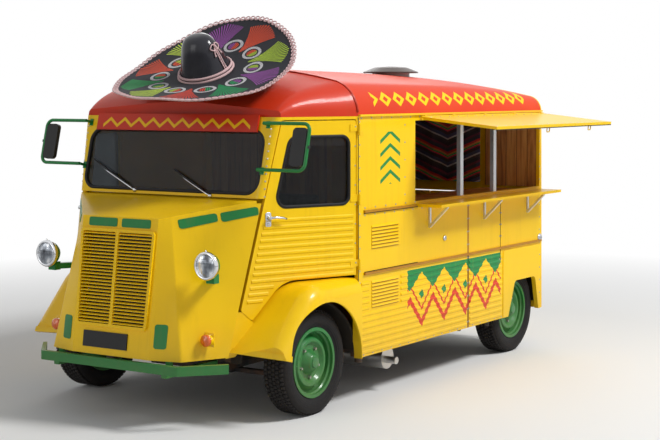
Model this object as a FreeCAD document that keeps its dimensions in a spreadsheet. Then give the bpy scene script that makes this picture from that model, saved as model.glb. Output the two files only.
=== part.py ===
import FreeCAD, Part
import math
import os

import Sketcher
from FreeCAD import Placement, Rotation, Vector

# Food truck: a forward-control panel van with a serving hatch in its left side.
# X points to the front, Y to the van's left, Z up. The origin is on the ground,
# on the centre line, midway between the axles. All sizes are in millimetres.

SIZES = (
    # running gear
    ("wheelbase", 2600, "axle to axle"),
    ("track", 1710, "between the wheels' middle planes"),
    ("tyre_radius", 322, "outer radius of a tyre"),
    ("tyre_width", 185, "section width of a tyre"),
    ("bead_radius", 203, "where tyre and rim meet"),
    ("flange_height", 13, "rim flange above the bead"),
    ("rim_width", 140, "between the rim's flanges"),
    ("rim_skin", 7, "thickness of rim and disc"),
    ("disc_offset", 22, "wheel disc outside the wheel's middle plane"),
    ("stub_radius", 22, "stub axle"),
    ("bearing_play", 0.3, "running gap of pins and shafts"),
    ("kingpin_inset", 65, "kingpin inside the wheel's middle plane"),
    ("kingpin_radius", 25, "kingpin barrel"),
    ("kingpin_height", 170, "length of the kingpin barrel"),
    # body box
    ("body_width", 2000, "over the side panels"),
    ("tail_x", "=wheelbase / 2 + 368", "rear face behind the origin"),
    ("cab_seam_x", "=wheelbase / 2 - 383", "seam between cab and box"),
    ("wall", 28, "thickness of walls and doors"),
    ("door_gap", 6, "gap round doors and lids"),
    ("sill_z", 296, "lower edge of the side panels"),
    ("mid_rail_z", 824, "lower rail along the side"),
    ("waist_rail_z", 1220, "upper rail along the side"),
    ("gutter_z", 1824, "rain gutter at the roof's edge"),
    ("floor_z", 365, "top of the load floor"),
    ("floor_thick", 25, "load floor"),
    ("roof_peak_z", 2213, "where the roof's two slopes would meet at the cab seam"),
    ("roof_drop", 88, "fall of the roof from the cab seam to the tail"),
    ("shoulder_z", 2014, "outer corner of the roof section before rounding"),
    ("shoulder_radius", 222, "rounding of the roof's shoulder at the cab seam"),
    ("crown_ratio", 3.8, "radius of the roof's crown over its half width"),
    # cab and nose
    ("cab_angle", 22, "how far the cab's sides turn inward, degrees"),
    ("front_lean", 0.238, "backward lean of the screen per unit of height"),
    ("cowl_z", 1335, "foot of the windscreen frame"),
    ("screen_x", "=wheelbase / 2 + 282", "windscreen plane at the cowl"),
    ("door_front_x", "=screen_x - 37", "front edge of the cab door at the cowl"),
    ("door_top_z", 1800, "upper edge of the cab doors"),
    ("corner_radius", 45, "upright front corners of the cab"),
    ("nose_foot_z", 401, "lower edge of the nose"),
    ("nose_foot_x", "=wheelbase / 2 + 751", "corners of the nose face at its foot"),
    ("nose_foot_half", 516, "half width of the nose face at its foot"),
    ("nose_bulge", 52, "how far the nose's middle stands ahead of its corners"),
    ("nose_flat_half", 302, "half width of the nose's flat middle"),
    ("grille_half", 280, "half width of the grille at its lower edge"),
    ("grille_foot", 168, "lower edge of the grille above the nose's foot, along its lean"),
    ("grille_head", 756, "upper edge of the grille, in the same way"),
    ("nose_lean", 0.1276, "backward lean of the nose face per unit of height"),
    ("nose_narrowing", 0.1877, "loss of half width per unit of height"),
    ("nose_skin", 20, "thickness of the nose panels"),
    ("bonnet_front_z", 1239, "front edge of the bonnet"),
    ("hinge_barrel", 9, "outer radius of a hinge barrel"),
    ("hinge_pin", 5, "hinge pin"),
    ("hinge_offset", 10, "hinge axis outside the panel's face"),
    ("hinge_length", 44, "length of a knuckle"),
    ("rest_play", 0.3, "gap where a lid or guide rests on its seat"),
    # wings
    ("wing_half", 1030, "outer face of a front wing from the centre line"),
    ("wing_skin", 14, "thickness of a wing"),
    ("wing_round", 105, "rounding of a wing's outer shoulder"),
    ("wing_knee_x", "=wheelbase / 2 + 120", "where the wing's slope meets its flat top"),
    ("wing_knee_radius", 230, "rounding of that knee"),
    ("wing_foot_z", 392, "lower edge of a wing ahead of its wheel"),
    ("wing_lip", 34, "height of the lip along that edge"),
    ("front_arch_radius", 378, "front wheel opening"),
    ("wheelhouse_radius", 388, "inner front wheel arch, outside"),
    ("wheelhouse_skin", 12, "thickness of an inner arch"),
    ("wheelhouse_half", 590, "inner wall of a front wheel arch from the centre line"),
    # serving side
    ("serving_front_x", 229, "front edge of the serving opening"),
    ("serving_rear_x", "=tail_x - 48", "rear edge of the serving opening behind the origin"),
    ("serving_sill_z", 1246, "lower edge of the serving opening"),
    ("serving_head_z", 1786, "upper edge of the serving opening"),
    ("awning_length", 572, "awning flap from hinge to edge"),
    ("awning_thick", 20, "thickness of the flap"),
    ("awning_droop", 6, "fall of the open flap, degrees"),
    ("awning_pivot_y", 1030, "flap hinge from the centre line"),
    ("awning_pivot_z", 1812, "flap hinge above the ground"),
    ("shelf_depth", 187, "how far the counter shelf stands out"),
    ("shelf_thick", 20, "thickness of the counter shelf"),
    ("post_width", 42, "posts in the serving opening"),
    ("side_seam_x", 494, "seam of the lower side panels behind the origin"),
    # tail and right side
    ("tail_door_half", 700, "half width of the rear opening"),
    ("tail_split_z", 1180, "where the rear hatch meets the doors below"),
    ("tail_foot_z", 350, "lower edge of the rear doors"),
    ("tail_head_z", 1775, "upper edge of the rear hatch"),
    ("slide_front_x", 880, "front edge of the sliding door"),
    ("slide_rear_x", -40, "rear edge of the sliding door"),
    ("slide_gap", 12, "gap between sliding door and wall"),
    ("rib_pitch", 40, "distance between the ribs of the panels"),
    ("rib_rise", 5, "how far a rib stands out"),
    ("socket_radius", 14, "bore of a jack socket"),
    ("socket_depth", 40, "depth of a jack socket"),
)

doc = FreeCAD.newDocument("food_truck")
sheet = doc.addObject("Spreadsheet::Sheet", "dims")
sheet.Label = "dims"


class Size:
    """A size that keeps its formula over the sheet's cells beside its number."""

    def __init__(self, formula, number):
        self.formula = formula
        self.number = number

    def __add__(self, other):
        other = size(other)
        return Size(f"({self.formula} + {other.formula})", self.number + other.number)

    def __radd__(self, other):
        return size(other) + self

    def __sub__(self, other):
        other = size(other)
        return Size(f"({self.formula} - {other.formula})", self.number - other.number)

    def __rsub__(self, other):
        return size(other) - self

    def __mul__(self, other):
        other = size(other)
        return Size(f"({self.formula} * {other.formula})", self.number * other.number)

    def __rmul__(self, other):
        return size(other) * self

    def __truediv__(self, other):
        other = size(other)
        return Size(f"({self.formula} / {other.formula})", self.number / other.number)

    def __rtruediv__(self, other):
        return size(other) / self

    def __neg__(self):
        return Size(f"(0 - {self.formula})", -self.number)


def size(value):
    return value if isinstance(value, Size) else Size(f"({float(value)!r})", float(value))


def tangent(angle):
    return Size(f"tan({angle.formula} * 1 deg)", math.tan(math.radians(angle.number)))


def arctangent(ratio):
    """Angle in degrees of a slope given as a ratio."""
    return Size(f"(atan({ratio.formula}) / 1 deg)", math.degrees(math.atan(ratio.number)))


def sine(angle):
    return Size(f"sin({angle.formula} * 1 deg)", math.sin(math.radians(angle.number)))


def cosine(angle):
    return Size(f"cos({angle.formula} * 1 deg)", math.cos(math.radians(angle.number)))


for row, (alias, value, note) in enumerate(SIZES, start=1):
    sheet.set(f"A{row}", alias)
    sheet.set(f"B{row}", str(value))
    sheet.set(f"C{row}", note)
    sheet.setAlias(f"B{row}", alias)
doc.recompute()


class Dims:
    pass


d = Dims()
for alias, value, note in SIZES:
    setattr(d, alias, Size(f"dims.{alias}", float(sheet.get(alias))))

# Places worked out from the driving sizes
half = d.body_width / 2
inner = half - d.wall
axle_x = d.wheelbase / 2
hub_y = d.track / 2
hub_z = d.tyre_radius
kingpin_y = hub_y - d.kingpin_inset
taper = tangent(d.cab_angle)
stretch = 1 / cosine(d.cab_angle)
tail_inner = -d.tail_x + d.wall
rail_foot_z = d.floor_z - d.floor_thick - 70
firewall_x = axle_x + 180
frame_end_x = axle_x + 340

nodes = {}


def bind(thing, path, value):
    thing.setExpression(path, size(value).formula)


def place(thing, x=0, y=0, z=0, axis=None, angle=0):
    """Put a document object at a place given by formulas, turned about one axis."""
    if axis is not None:
        thing.Placement = Placement(Vector(), Rotation(Vector(*axis), size(angle).number))
        bind(thing, "Placement.Rotation.Angle", angle)
    for letter, value in zip("xyz", (x, y, z)):
        bind(thing, f"Placement.Base.{letter}", value)
    return thing


def node(name, thing):
    """Name a finished sub-part and keep it for export."""
    thing.Label = name
    nodes[name] = thing
    return thing


def body(name):
    return doc.addObject("PartDesign::Body", name)


def base_plane(owner, plane):
    return next(f for f in owner.Origin.OriginFeatures if f.Role == f"{plane}_Plane")


def sketch_on(owner, plane, offset, name):
    sketch = owner.newObject("Sketcher::SketchObject", name)
    sketch.AttachmentSupport = (base_plane(owner, plane), [""])
    sketch.MapMode = "FlatFace"
    bind(sketch, "AttachmentOffset.Base.z", offset)
    return sketch


def fix_point(sketch, geometry, end, x, y):
    """Hold a point of the sketch at the formulas x, y."""
    for kind, value in (("DistanceX", x), ("DistanceY", y)):
        value = size(value)
        index = sketch.addConstraint(
            Sketcher.Constraint(kind, -1, 1, geometry, end, value.number)
        )
        sketch.setExpression(f"Constraints[{index}]", value.formula)


def draw_circle(sketch, x, y, radius):
    radius = size(radius)
    centre = Vector(size(x).number, size(y).number, 0)
    ring = sketch.addGeometry(Part.Circle(centre, Vector(0, 0, 1), radius.number))
    fix_point(sketch, ring, 3, x, y)
    index = sketch.addConstraint(Sketcher.Constraint("Radius", ring, radius.number))
    sketch.setExpression(f"Constraints[{index}]", radius.formula)


def draw_outline(sketch, corners):
    """Closed outline through corners (x, y) or (x, y, rounding radius)."""
    corners = [tuple(size(v) for v in (*c, 0)[:3]) for c in corners]
    count = len(corners)
    spots = [Vector(x.number, y.number, 0) for x, y, r in corners]
    leaves, arrives, arcs = [], [], []
    for i, (x, y, r) in enumerate(corners):
        here, before, after = spots[i], spots[i - 1], spots[(i + 1) % count]
        to_before = (before - here).normalize()
        to_after = (after - here).normalize()
        if r.number == 0:
            arrives.append(here)
            leaves.append(here)
            arcs.append(None)
            continue
        half_angle = to_before.getAngle(to_after) / 2
        reach = r.number / math.tan(half_angle)
        start = here + to_before * reach
        stop = here + to_after * reach
        centre = here + (to_before + to_after).normalize() * (r.number / math.sin(half_angle))
        left_turn = (here - before).cross(after - here).z > 0
        first, last = (start, stop) if left_turn else (stop, start)
        angles = [math.atan2(p.y - centre.y, p.x - centre.x) for p in (first, last)]
        circle = Part.Circle(centre, Vector(0, 0, 1), r.number)
        arrives.append(start)
        leaves.append(stop)
        arcs.append((Part.ArcOfCircle(circle, *angles), left_turn))
    first_line = sketch.addGeometry(
        [Part.LineSegment(leaves[i], arrives[(i + 1) % count]) for i in range(count)]
    )[0]
    for i, (x, y, r) in enumerate(corners):
        line_in = first_line + (i - 1) % count
        line_out = first_line + i
        if arcs[i] is None:
            sketch.addConstraint(Sketcher.Constraint("Coincident", line_in, 2, line_out, 1))
            fix_point(sketch, line_out, 1, x, y)
            continue
        arc_shape, left_turn = arcs[i]
        arc = sketch.addGeometry(arc_shape)
        near, far = (1, 2) if left_turn else (2, 1)
        spot = sketch.addGeometry(Part.Point(spots[i]), True)
        sketch.addConstraint(
            [
                Sketcher.Constraint("Tangent", line_in, 2, arc, near),
                Sketcher.Constraint("Tangent", arc, far, line_out, 1),
                Sketcher.Constraint("PointOnObject", spot, 1, line_in),
                Sketcher.Constraint("PointOnObject", spot, 1, line_out),
            ]
        )
        fix_point(sketch, spot, 1, x, y)
        index = sketch.addConstraint(Sketcher.Constraint("Radius", arc, r.number))
        sketch.setExpression(f"Constraints[{index}]", r.formula)


def draw(sketch, outlines):
    for outline in outlines:
        if isinstance(outline, tuple):
            draw_circle(sketch, *outline)
        else:
            draw_outline(sketch, outline)


def pad(owner, plane, outlines, low, high):
    """Add the outlines, a list of corners or a circle tuple each, from low to high."""
    number = len(owner.Group)
    low, high = size(low), size(high)
    offset = -high if plane == "XZ" else low
    sketch = sketch_on(owner, plane, offset, f"{owner.Name}_outline{number}")
    draw(sketch, outlines)
    feature = owner.newObject("PartDesign::Pad", f"{owner.Name}_pad{number}")
    feature.Profile = sketch
    bind(feature, "Length", high - low)
    return feature


def pocket(owner, plane, outlines, low, high):
    """Cut the outlines from low to high along the plane's normal."""
    number = len(owner.Group)
    low, high = size(low), size(high)
    offset = -low if plane == "XZ" else high
    sketch = sketch_on(owner, plane, offset, f"{owner.Name}_cut{number}")
    draw(sketch, outlines)
    feature = owner.newObject("PartDesign::Pocket", f"{owner.Name}_pocket{number}")
    feature.Profile = sketch
    bind(feature, "Length", high - low)
    return feature


def revolve(owner, plane, outline, axis):
    """Turn an outline about the X or Y axis of its sketch."""
    number = len(owner.Group)
    sketch = sketch_on(owner, plane, 0, f"{owner.Name}_section{number}")
    draw(sketch, [outline])
    feature = owner.newObject("PartDesign::Revolution", f"{owner.Name}_turned{number}")
    feature.Profile = sketch
    feature.ReferenceAxis = (sketch, [axis])
    feature.Angle = 360
    return feature


def loft(owner, plane, sections, subtract=False, ruled=False):
    """Blend the outlines of sections, each (place along the normal, outline)."""
    number = len(owner.Group)
    sketches = []
    for offset, outline in sections:
        sketch = sketch_on(owner, plane, offset, f"{owner.Name}_loft{number}_{len(sketches)}")
        draw(sketch, [outline])
        sketches.append(sketch)
    kind = "SubtractiveLoft" if subtract else "AdditiveLoft"
    feature = owner.newObject(f"PartDesign::{kind}", f"{owner.Name}_blend{number}")
    feature.Profile = sketches[0]
    feature.Sections = sketches[1:]
    feature.Ruled = ruled
    return feature


def repeat(owner, feature, count, pitch):
    """Repeat a feature upward."""
    pattern = owner.newObject("PartDesign::LinearPattern", f"{feature.Name}_row")
    pattern.Originals = [feature]
    upright = next(f for f in owner.Origin.OriginFeatures if f.Role == "Z_Axis")
    pattern.Direction = (upright, [""])
    pattern.Occurrences = count
    bind(pattern, "Length", size(pitch) * (count - 1))
    owner.Tip = pattern
    return pattern


def box(name, x, y, z):
    """Box between two places on each axis."""
    block = doc.addObject("Part::Box", name)
    for prop, (low, high) in (("Length", x), ("Width", y), ("Height", z)):
        bind(block, prop, size(high) - low)
    return place(block, x[0], y[0], z[0])


def rod(name, radius, length, x, y, z, axis=None, angle=0):
    """Round bar that starts at x, y, z and runs along its turned Z axis."""
    bar = doc.addObject("Part::Cylinder", name)
    bind(bar, "Radius", radius)
    bind(bar, "Height", length)
    return place(bar, x, y, z, axis, angle)


def cross_rod(name, radius, x, y, z):
    """Round bar along Y between the two places y."""
    return rod(name, radius, size(y[1]) - y[0], x, y[1], z, (1, 0, 0), 90)


def fuse(name, *pieces):
    union = doc.addObject("Part::MultiFuse", name)
    union.Shapes = list(pieces)
    return union


def cut(name, base, *tools):
    result = doc.addObject("Part::Cut", name)
    result.Base = base
    result.Tool = tools[0] if len(tools) == 1 else fuse(f"{name}_tools", *tools)
    return result


def common(name, base, tool):
    result = doc.addObject("Part::Common", name)
    result.Base = base
    result.Tool = tool
    return result


def mirror(name, source):
    """The same piece on the other side of the centre line."""
    twin = doc.addObject("Part::Mirroring", name)
    twin.Source = source
    twin.Normal = Vector(0, 1, 0)
    return twin


def group(name, *pieces):
    """Like pieces on one body that share a node and don't touch."""
    bundle = doc.addObject("Part::Compound", name)
    bundle.Links = list(pieces)
    return bundle


def pair(name, source):
    return group(name, source, mirror(f"{name}_twin", source))


def rectangle(x, y, radius=0):
    """Corners of an upright rectangle between two places on each axis."""
    return [(x[0], y[0], radius), (x[1], y[0], radius), (x[1], y[1], radius), (x[0], y[1], radius)]


def at_height(x, z, lean, height):
    """Where a leaning line through (x, z) is at another height."""
    return x - (height - size(z)) * lean


def side_y(x):
    """Outer face of the cab's side at a place along X."""
    return half - (x - d.cab_seam_x) * taper


# Hinges: a knuckle on the moving panel turns on a pin that its fixed half carries

def add_knuckle(panel, plane, spot, leaf, low, high):
    """Add a bored barrel at spot and its leaf, a list of corners, to a panel."""
    pad(panel, plane, [leaf], low, high)
    pad(panel, plane, [(*spot, d.hinge_barrel)], low, high)
    pocket(panel, plane, [(*spot, d.hinge_pin + d.bearing_play)], size(low) - 1, size(high) + 1)


def hinge_root(name, plane, spot, leaf, low, high):
    """Fixed half of a hinge: leaf and barrel below the knuckle, and the pin in it."""
    root = body(name)
    barrel_high = size(low) - d.rest_play
    barrel_low = barrel_high - (size(high) - low) / 2
    pad(root, plane, [leaf], barrel_low, barrel_high)
    pad(root, plane, [(*spot, d.hinge_barrel)], barrel_low, barrel_high)
    pad(root, plane, [(*spot, d.hinge_pin)], barrel_low, size(high) + 2)
    return root


# Running gear

def tyre(name):
    section = d.tyre_width / 2
    bead = d.rim_width / 2
    lip = d.bead_radius + d.flange_height + 2
    piece = body(name)
    revolve(piece, "XY", [
        (-bead, d.bead_radius), (bead, d.bead_radius), (bead, lip),
        (section, d.bead_radius + 50, 30), (section, d.tyre_radius - 28, 26),
        (section - 22, d.tyre_radius, 16), (22 - section, d.tyre_radius, 16),
        (-section, d.tyre_radius - 28, 26), (-section, d.bead_radius + 50, 30), (-bead, lip),
    ], "H_Axis")
    return piece


def wheel(name):
    """Pressed steel wheel with a domed hub; its outer side faces the sketch's +X."""
    edge = d.rim_width / 2
    seat = d.bead_radius - d.rim_skin
    lip = d.bead_radius + d.flange_height
    bore = d.stub_radius + d.bearing_play
    face = d.disc_offset
    piece = body(name)
    back = face - 11
    revolve(piece, "XY", [
        (-edge - d.rim_skin, seat), (back, seat), (back, 170, 8), (back + 32, 146, 6), (back + 32, 128, 6),
        (back + 10, 106), (back + 10, 72), (face - 30, 72), (face - 30, bore), (face + 42, bore),
        (face + 42, 0), (face + 62, 0), (face + 58, 44, 24), (face + 24, 72, 6), (face + 12, 80, 3),
        (face + 12, 106, 6), (face + 34, 128, 7), (face + 34, 146, 7), (face + 2, 172, 6),
        (face + 2, seat - 9), (edge - 20, seat - 9), (edge - 12, seat),
        (edge + d.rim_skin, seat), (edge + d.rim_skin, lip), (edge, lip),
        (edge, d.bead_radius), (-edge, d.bead_radius), (-edge, lip),
        (-edge - d.rim_skin, lip),
    ], "H_Axis")
    return piece


def road_wheels():
    """Four wheels, each a rim and a tyre, turned so that the disc faces outward."""
    for end, x in (("front", axle_x), ("rear", -axle_x)):
        for side, sign in (("left", 1), ("right", -1)):
            for kind, make in (("rim", wheel), ("tyre", tyre)):
                piece = make(f"{kind}_{end}_{side}")
                place(piece, x, hub_y * sign, hub_z, (0, 0, 1), 90 * sign)
                node(f"{kind}_{end}_{side}", piece)


def knuckles():
    """Steering knuckles: kingpin barrel, stub axle and steering arm."""
    rise = d.kingpin_height / 2
    barrel = rod("barrel", d.kingpin_radius, d.kingpin_height, axle_x, kingpin_y, hub_z - rise)
    stub = cross_rod("stub", d.stub_radius, axle_x, (kingpin_y, hub_y + d.disc_offset + 42), hub_z)
    arm = box("steer_arm", (axle_x - 150, axle_x), (kingpin_y - 14, kingpin_y + 4), (hub_z - 40, hub_z - 16))
    left = node("knuckle_left", fuse("knuckle_left", barrel, stub, arm))
    node("knuckle_right", mirror("knuckle_right", left))


def front_axle():
    """Cradle beam under the floor with towers and arms to each kingpin."""
    rise = d.kingpin_height / 2 + d.bearing_play
    eye = d.kingpin_radius + 8
    low, high = hub_z - rise - 26, hub_z + rise
    under = d.floor_z - d.floor_thick
    tower_y = d.wheelhouse_half + d.wheelhouse_skin + 0.3
    arms = [box("arm_tower", (axle_x - 30, axle_x + 30), (tower_y, tower_y + 14), (low, high + 26))]
    for label, z, start in (("low", low, 200), ("high", high, tower_y)):
        arms.append(rod(f"eye_{label}", eye, 26, axle_x, kingpin_y, z))
        arms.append(box(f"arm_{label}", (axle_x - 22, axle_x + 22), (start, kingpin_y), (z, z + 26)))
    side = fuse("front_arms", *arms)
    beam = box("front_beam", (axle_x - 60, axle_x + 60), (-330, 330), (low, under))
    node("front_axle", fuse("front_axle", beam, side, mirror("front_arms_right", side)))


def rear_axle():
    """Cross tube saddled under the long rails, with trailing arms to the rear stubs."""
    pivot = -axle_x + 420
    arm_y = hub_y - d.tyre_width / 2 - 50
    tube_radius = 38
    tube_z = rail_foot_z - tube_radius - 2
    tube = cross_rod("rear_tube", tube_radius, pivot, (-arm_y, arm_y), tube_z)
    parts = [
        box("saddle", (pivot - 32, pivot + 32), (405, 455), (tube_z, rail_foot_z)),
        box("trailing_arm", (-axle_x - 40, pivot + 30), (arm_y - 25, arm_y + 25), (tube_z - 10, hub_z + 13)),
        cross_rod("rear_stub", d.stub_radius, -axle_x, (arm_y + 10, hub_y + d.disc_offset + 42), hub_z),
    ]
    side = fuse("rear_arm", *parts)
    node("rear_axle", fuse("rear_axle", tube, side, mirror("rear_arm_right", side)))


# Underside

def underframe():
    """Load floor on two long rails, with cross members and sills; jack sockets under these."""
    narrow = hub_y - d.tyre_width / 2 - 45
    notch = -axle_x + 385
    front_notch = axle_x - d.wheelhouse_radius - 10
    under = d.floor_z - d.floor_thick
    floor = body("load_floor")
    pad(floor, "XY", [[
        (tail_inner, -narrow), (notch, -narrow), (notch, -inner), (front_notch, -inner),
        (front_notch, -d.wheelhouse_half), (frame_end_x, -d.wheelhouse_half),
        (frame_end_x, d.wheelhouse_half),
        (front_notch, d.wheelhouse_half), (front_notch, inner), (notch, inner),
        (notch, narrow), (tail_inner, narrow),
    ]], under, d.floor_z)
    pieces = [floor]
    left = [
        box("long_rail", (tail_inner, frame_end_x), (400, 460), (rail_foot_z, under)),
        box("sill_rail", (notch + 10, front_notch - 10), (inner - 50, inner), (d.sill_z, under)),
    ]
    for i, x in enumerate((-700, 0, 700)):
        left.append(box(f"outrigger{i}", (x, x + 50), (0, inner - 20), (rail_foot_z + 20, under)))
    side = fuse("underframe_left", *left)
    node("underframe", fuse("underframe", *pieces, side, mirror("underframe_right", side)))
    tubes = []
    for i, x in enumerate((notch + 60, front_notch - 60)):
        low = d.sill_z - d.socket_depth
        tubes.append(cut(
            f"socket{i}",
            rod(f"socket_wall{i}", d.socket_radius + 10, d.socket_depth, x, inner - 25, low),
            rod(f"socket_bore{i}", d.socket_radius, d.socket_depth, x, inner - 25, low),
        ))
    node("jack_sockets", pair("jack_sockets", group("sockets_left", *tubes)))


def engine_block():
    node("engine_block", box("engine_block", (firewall_x + 32, axle_x + 600), (-210, 210), (d.floor_z, 960)))


def exhaust():
    """Silencer under the left sill with a bright tail pipe."""
    can = cross_rod("silencer", 75, 420, (500, 900), 215)
    pipe = rod("down_pipe", 22, 700, 380, 560, 225, (0, 1, 0), 90)
    tip = cross_rod("tail_pipe", 24, 440, (890, 985), 205)
    hanger = box("silencer_hanger", (405, 435), (640, 660), (280, 340))
    node("exhaust", fuse("exhaust", can, pipe, tip, hanger))


def wheelhouses():
    """Inner arches over the wheels, closed towards the inside of the van."""
    radius = d.wheelhouse_radius
    skin = d.wheelhouse_skin
    arch = body("front_house")
    low = d.floor_z - d.floor_thick + 8
    wall_in = d.wheelhouse_half
    rounding = hub_z + radius - low - 2
    pad(arch, "XZ", [[
        (axle_x - radius, low), (axle_x + radius, low), (axle_x + radius, hub_z + radius, rounding),
        (axle_x - radius, hub_z + radius, rounding),
    ]], wall_in, half)
    pocket(arch, "XZ", [[
        (axle_x - radius + skin, low), (axle_x + radius - skin, low),
        (axle_x + radius - skin, hub_z + radius - skin, rounding - skin),
        (axle_x - radius + skin, hub_z + radius - skin, rounding - skin),
    ]], wall_in + skin, half)
    wedge = body("cab_side_wedge")
    reach = d.screen_x + 300
    pad(wedge, "XY", [[
        (d.cab_seam_x - 200, half - d.wall), (d.cab_seam_x, half - d.wall),
        (reach, side_y(reach) - d.wall), (reach, half + 200), (d.cab_seam_x - 200, half + 200),
    ]], 0, 1000)
    front = cut("front_house_trimmed", arch, wedge)
    back = body("rear_house")
    narrow = hub_y - d.tyre_width / 2 - 45
    back_radius = 352
    pad(back, "XZ", [[
        (tail_inner, low), (-axle_x + 385, low), (-axle_x + 385, hub_z + back_radius + skin, 200),
        (tail_inner, hub_z + back_radius + skin, 200),
    ]], narrow, inner)
    pocket(back, "XZ", [[
        (tail_inner + 4, low), (-axle_x + 385 - skin, low),
        (-axle_x + 385 - skin, hub_z + back_radius, 188), (tail_inner + 4, hub_z + back_radius, 188),
    ]], narrow + skin, inner)
    node("wheelhouses", pair("wheelhouses", group("wheelhouses_left", front, back)))


# Nose and cab

def nose_section(height, shrink=0):
    """Plan of the nose at a height, set in by a wall thickness."""
    front = at_height(d.nose_foot_x, d.nose_foot_z, d.nose_lean, height) - shrink
    front_half = d.nose_foot_half - (height - d.nose_foot_z) * d.nose_narrowing - shrink
    back = at_height(d.door_front_x, d.cowl_z, d.front_lean, height) + d.door_gap + 12
    back_half = side_y(back) - shrink
    hollow = size(shrink).number > 0
    start = back - 60 if hollow else back
    start_half = back_half + (60 * taper if hollow else 0)
    flat = d.nose_flat_half
    middle = front + d.nose_bulge
    return [
        (start, -start_half), (front, -front_half, 30), (middle, -flat), (middle, flat),
        (front, front_half, 30), (start, start_half),
    ]


def nose_side_y(x, height):
    """Outer face of the nose's side at a place along X and a height."""
    front, front_half = nose_section(height)[4][:2]
    back, back_half = nose_section(height)[5][:2]
    return front_half + (back_half - front_half) * (front - x) / (front - back)


def nose_solid(name, low, high, shrink=0):
    solid = body(name)
    loft(solid, "XY", [(low, nose_section(low, shrink)), (high, nose_section(high, shrink))], ruled=True)
    return solid


def bonnet_line(drop):
    """Two points of the bonnet's top line, lowered by drop."""
    back_x = at_height(d.door_front_x, d.cowl_z, d.front_lean, d.cowl_z)
    front_x = at_height(d.nose_foot_x, d.nose_foot_z, d.nose_lean, d.bonnet_front_z)
    return (front_x, d.bonnet_front_z - drop), (back_x, d.cowl_z - drop)


def over_bonnet(name, drop):
    """Everything above the bonnet's line, lowered by drop."""
    front, back = bonnet_line(drop)
    slope = (back[1] - front[1]) / (front[0] - back[0])
    ahead = 200
    tool = body(name)
    pad(tool, "XZ", [[
        (front[0] + ahead, front[1] - slope * ahead), (front[0] + ahead, d.cowl_z + 300),
        (back[0] - ahead, d.cowl_z + 300), (back[0] - ahead, back[1] + slope * ahead),
    ]], -half, half)
    return tool


def nose_and_bonnet():
    skin = d.nose_skin
    top = d.cowl_z + 40
    outer = nose_solid("nose_outer", d.nose_foot_z, top)
    hollow = nose_solid("nose_hollow", d.nose_foot_z - 10, top + 10, skin)
    grille_hole = body("grille_hole")
    low_half, low = d.grille_half - 10, d.nose_foot_z + d.grille_foot + 9
    high_half, high = d.grille_half + 4, d.nose_foot_z + d.grille_head - 16
    pad(grille_hole, "YZ", [[
        (-low_half, low), (low_half, low), (high_half, high), (-high_half, high),
    ]], d.nose_foot_x - 250, d.nose_foot_x + 120)
    shell = cut(
        "nose_shell", outer, hollow, grille_hole, over_bonnet("bonnet_space", skin + d.rest_play)
    )
    node("nose_shell", shell)
    lid_top = common("bonnet_top", nose_solid("bonnet_solid", d.nose_foot_z, top),
                     over_bonnet("bonnet_under", skin))
    screen_clear = body("bonnet_rear_space")
    back = d.screen_x + d.door_gap
    pad(screen_clear, "XZ", [[
        (back - 300, d.cowl_z - 300), (back, d.cowl_z - 300), (back, d.cowl_z + 300),
        (back - 300, d.cowl_z + 300),
    ]], -half, half)
    node("bonnet", cut("bonnet", lid_top, over_bonnet("bonnet_above", 0), screen_clear))


def on_nose(thing):
    """Lean a piece drawn upright with the nose's middle; its origin is at the foot."""
    return place(thing, d.nose_foot_x + d.nose_bulge, 0, d.nose_foot_z, (0, 1, 0), -arctangent(d.nose_lean))


def grille():
    """Frame on the nose face with a centre bar and slanted louvres in two columns."""
    frame = body("grille_frame")
    bottom, top = d.grille_foot, d.grille_head
    rim, bar = 18, 11
    low_half, high_half = d.grille_half, d.grille_half + 14
    pad(frame, "YZ", [
        [(-low_half, bottom, 26), (low_half, bottom, 26), (high_half, top, 26), (-high_half, top, 26)],
        [(rim - low_half, bottom + rim, 10), (-bar, bottom + rim, 10), (-bar, top - rim, 10),
         (rim - high_half, top - rim, 10)],
        [(bar, bottom + rim, 10), (low_half - rim, bottom + rim, 10), (high_half - rim, top - rim, 10),
         (bar, top - rim, 10)],
    ], d.rest_play, 16)
    slats = body("grille_slats")
    count = 27
    pitch = (top - bottom - 2 * rim) / count
    z = bottom + rim + pitch / 2
    slat = pad(slats, "XZ", [[(2, z + 6), (2, z + 1), (13, z - 5), (13, z)]], -high_half, high_half)
    repeat(slats, slat, count, pitch)
    window = body("grille_window")
    pad(window, "YZ", [[
        (4 - low_half, bottom + 4), (low_half - 4, bottom + 4),
        (high_half - 4, top - 4), (4 - high_half, top - 4),
    ]], 0, 20)
    node("grille", on_nose(fuse("grille", frame, common("slats_trimmed", slats, window))))


def vent_slots():
    """Coloured inserts let into the nose: over the grille, beside its foot and along the bonnet's sides."""
    skin = nose_solid("slot_skin", d.nose_foot_z, d.cowl_z + 40, -3)
    reach = (d.nose_foot_x - 300, d.nose_foot_x + 200)
    front = body("front_slots")
    pad(front, "YZ", [
        rectangle((18, 246), (1166, 1218), 12), rectangle((332, 412), (470, 612), 16),
    ], *reach)
    side = body("side_slots")
    lines = []
    for ahead, behind in ((126, 290), (306, 464)):
        start, stop = d.nose_foot_x - ahead, d.nose_foot_x - behind
        level = d.bonnet_front_z - 24 + ahead * 0.2 - 20
        rise = (behind - ahead) * 0.22
        lines.append([(start, level, 12), (stop, level + rise, 12), (stop, level + rise - 50, 12),
                      (start, level - 56, 12)])
    pad(side, "XZ", lines, 330, half)
    shaped = common("slots_shaped", skin, fuse("slot_blocks", front, side))
    node("vent_slots", pair("vent_slots", cut("slots_left", shaped, doc.getObject("nose_outer"))))


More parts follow.
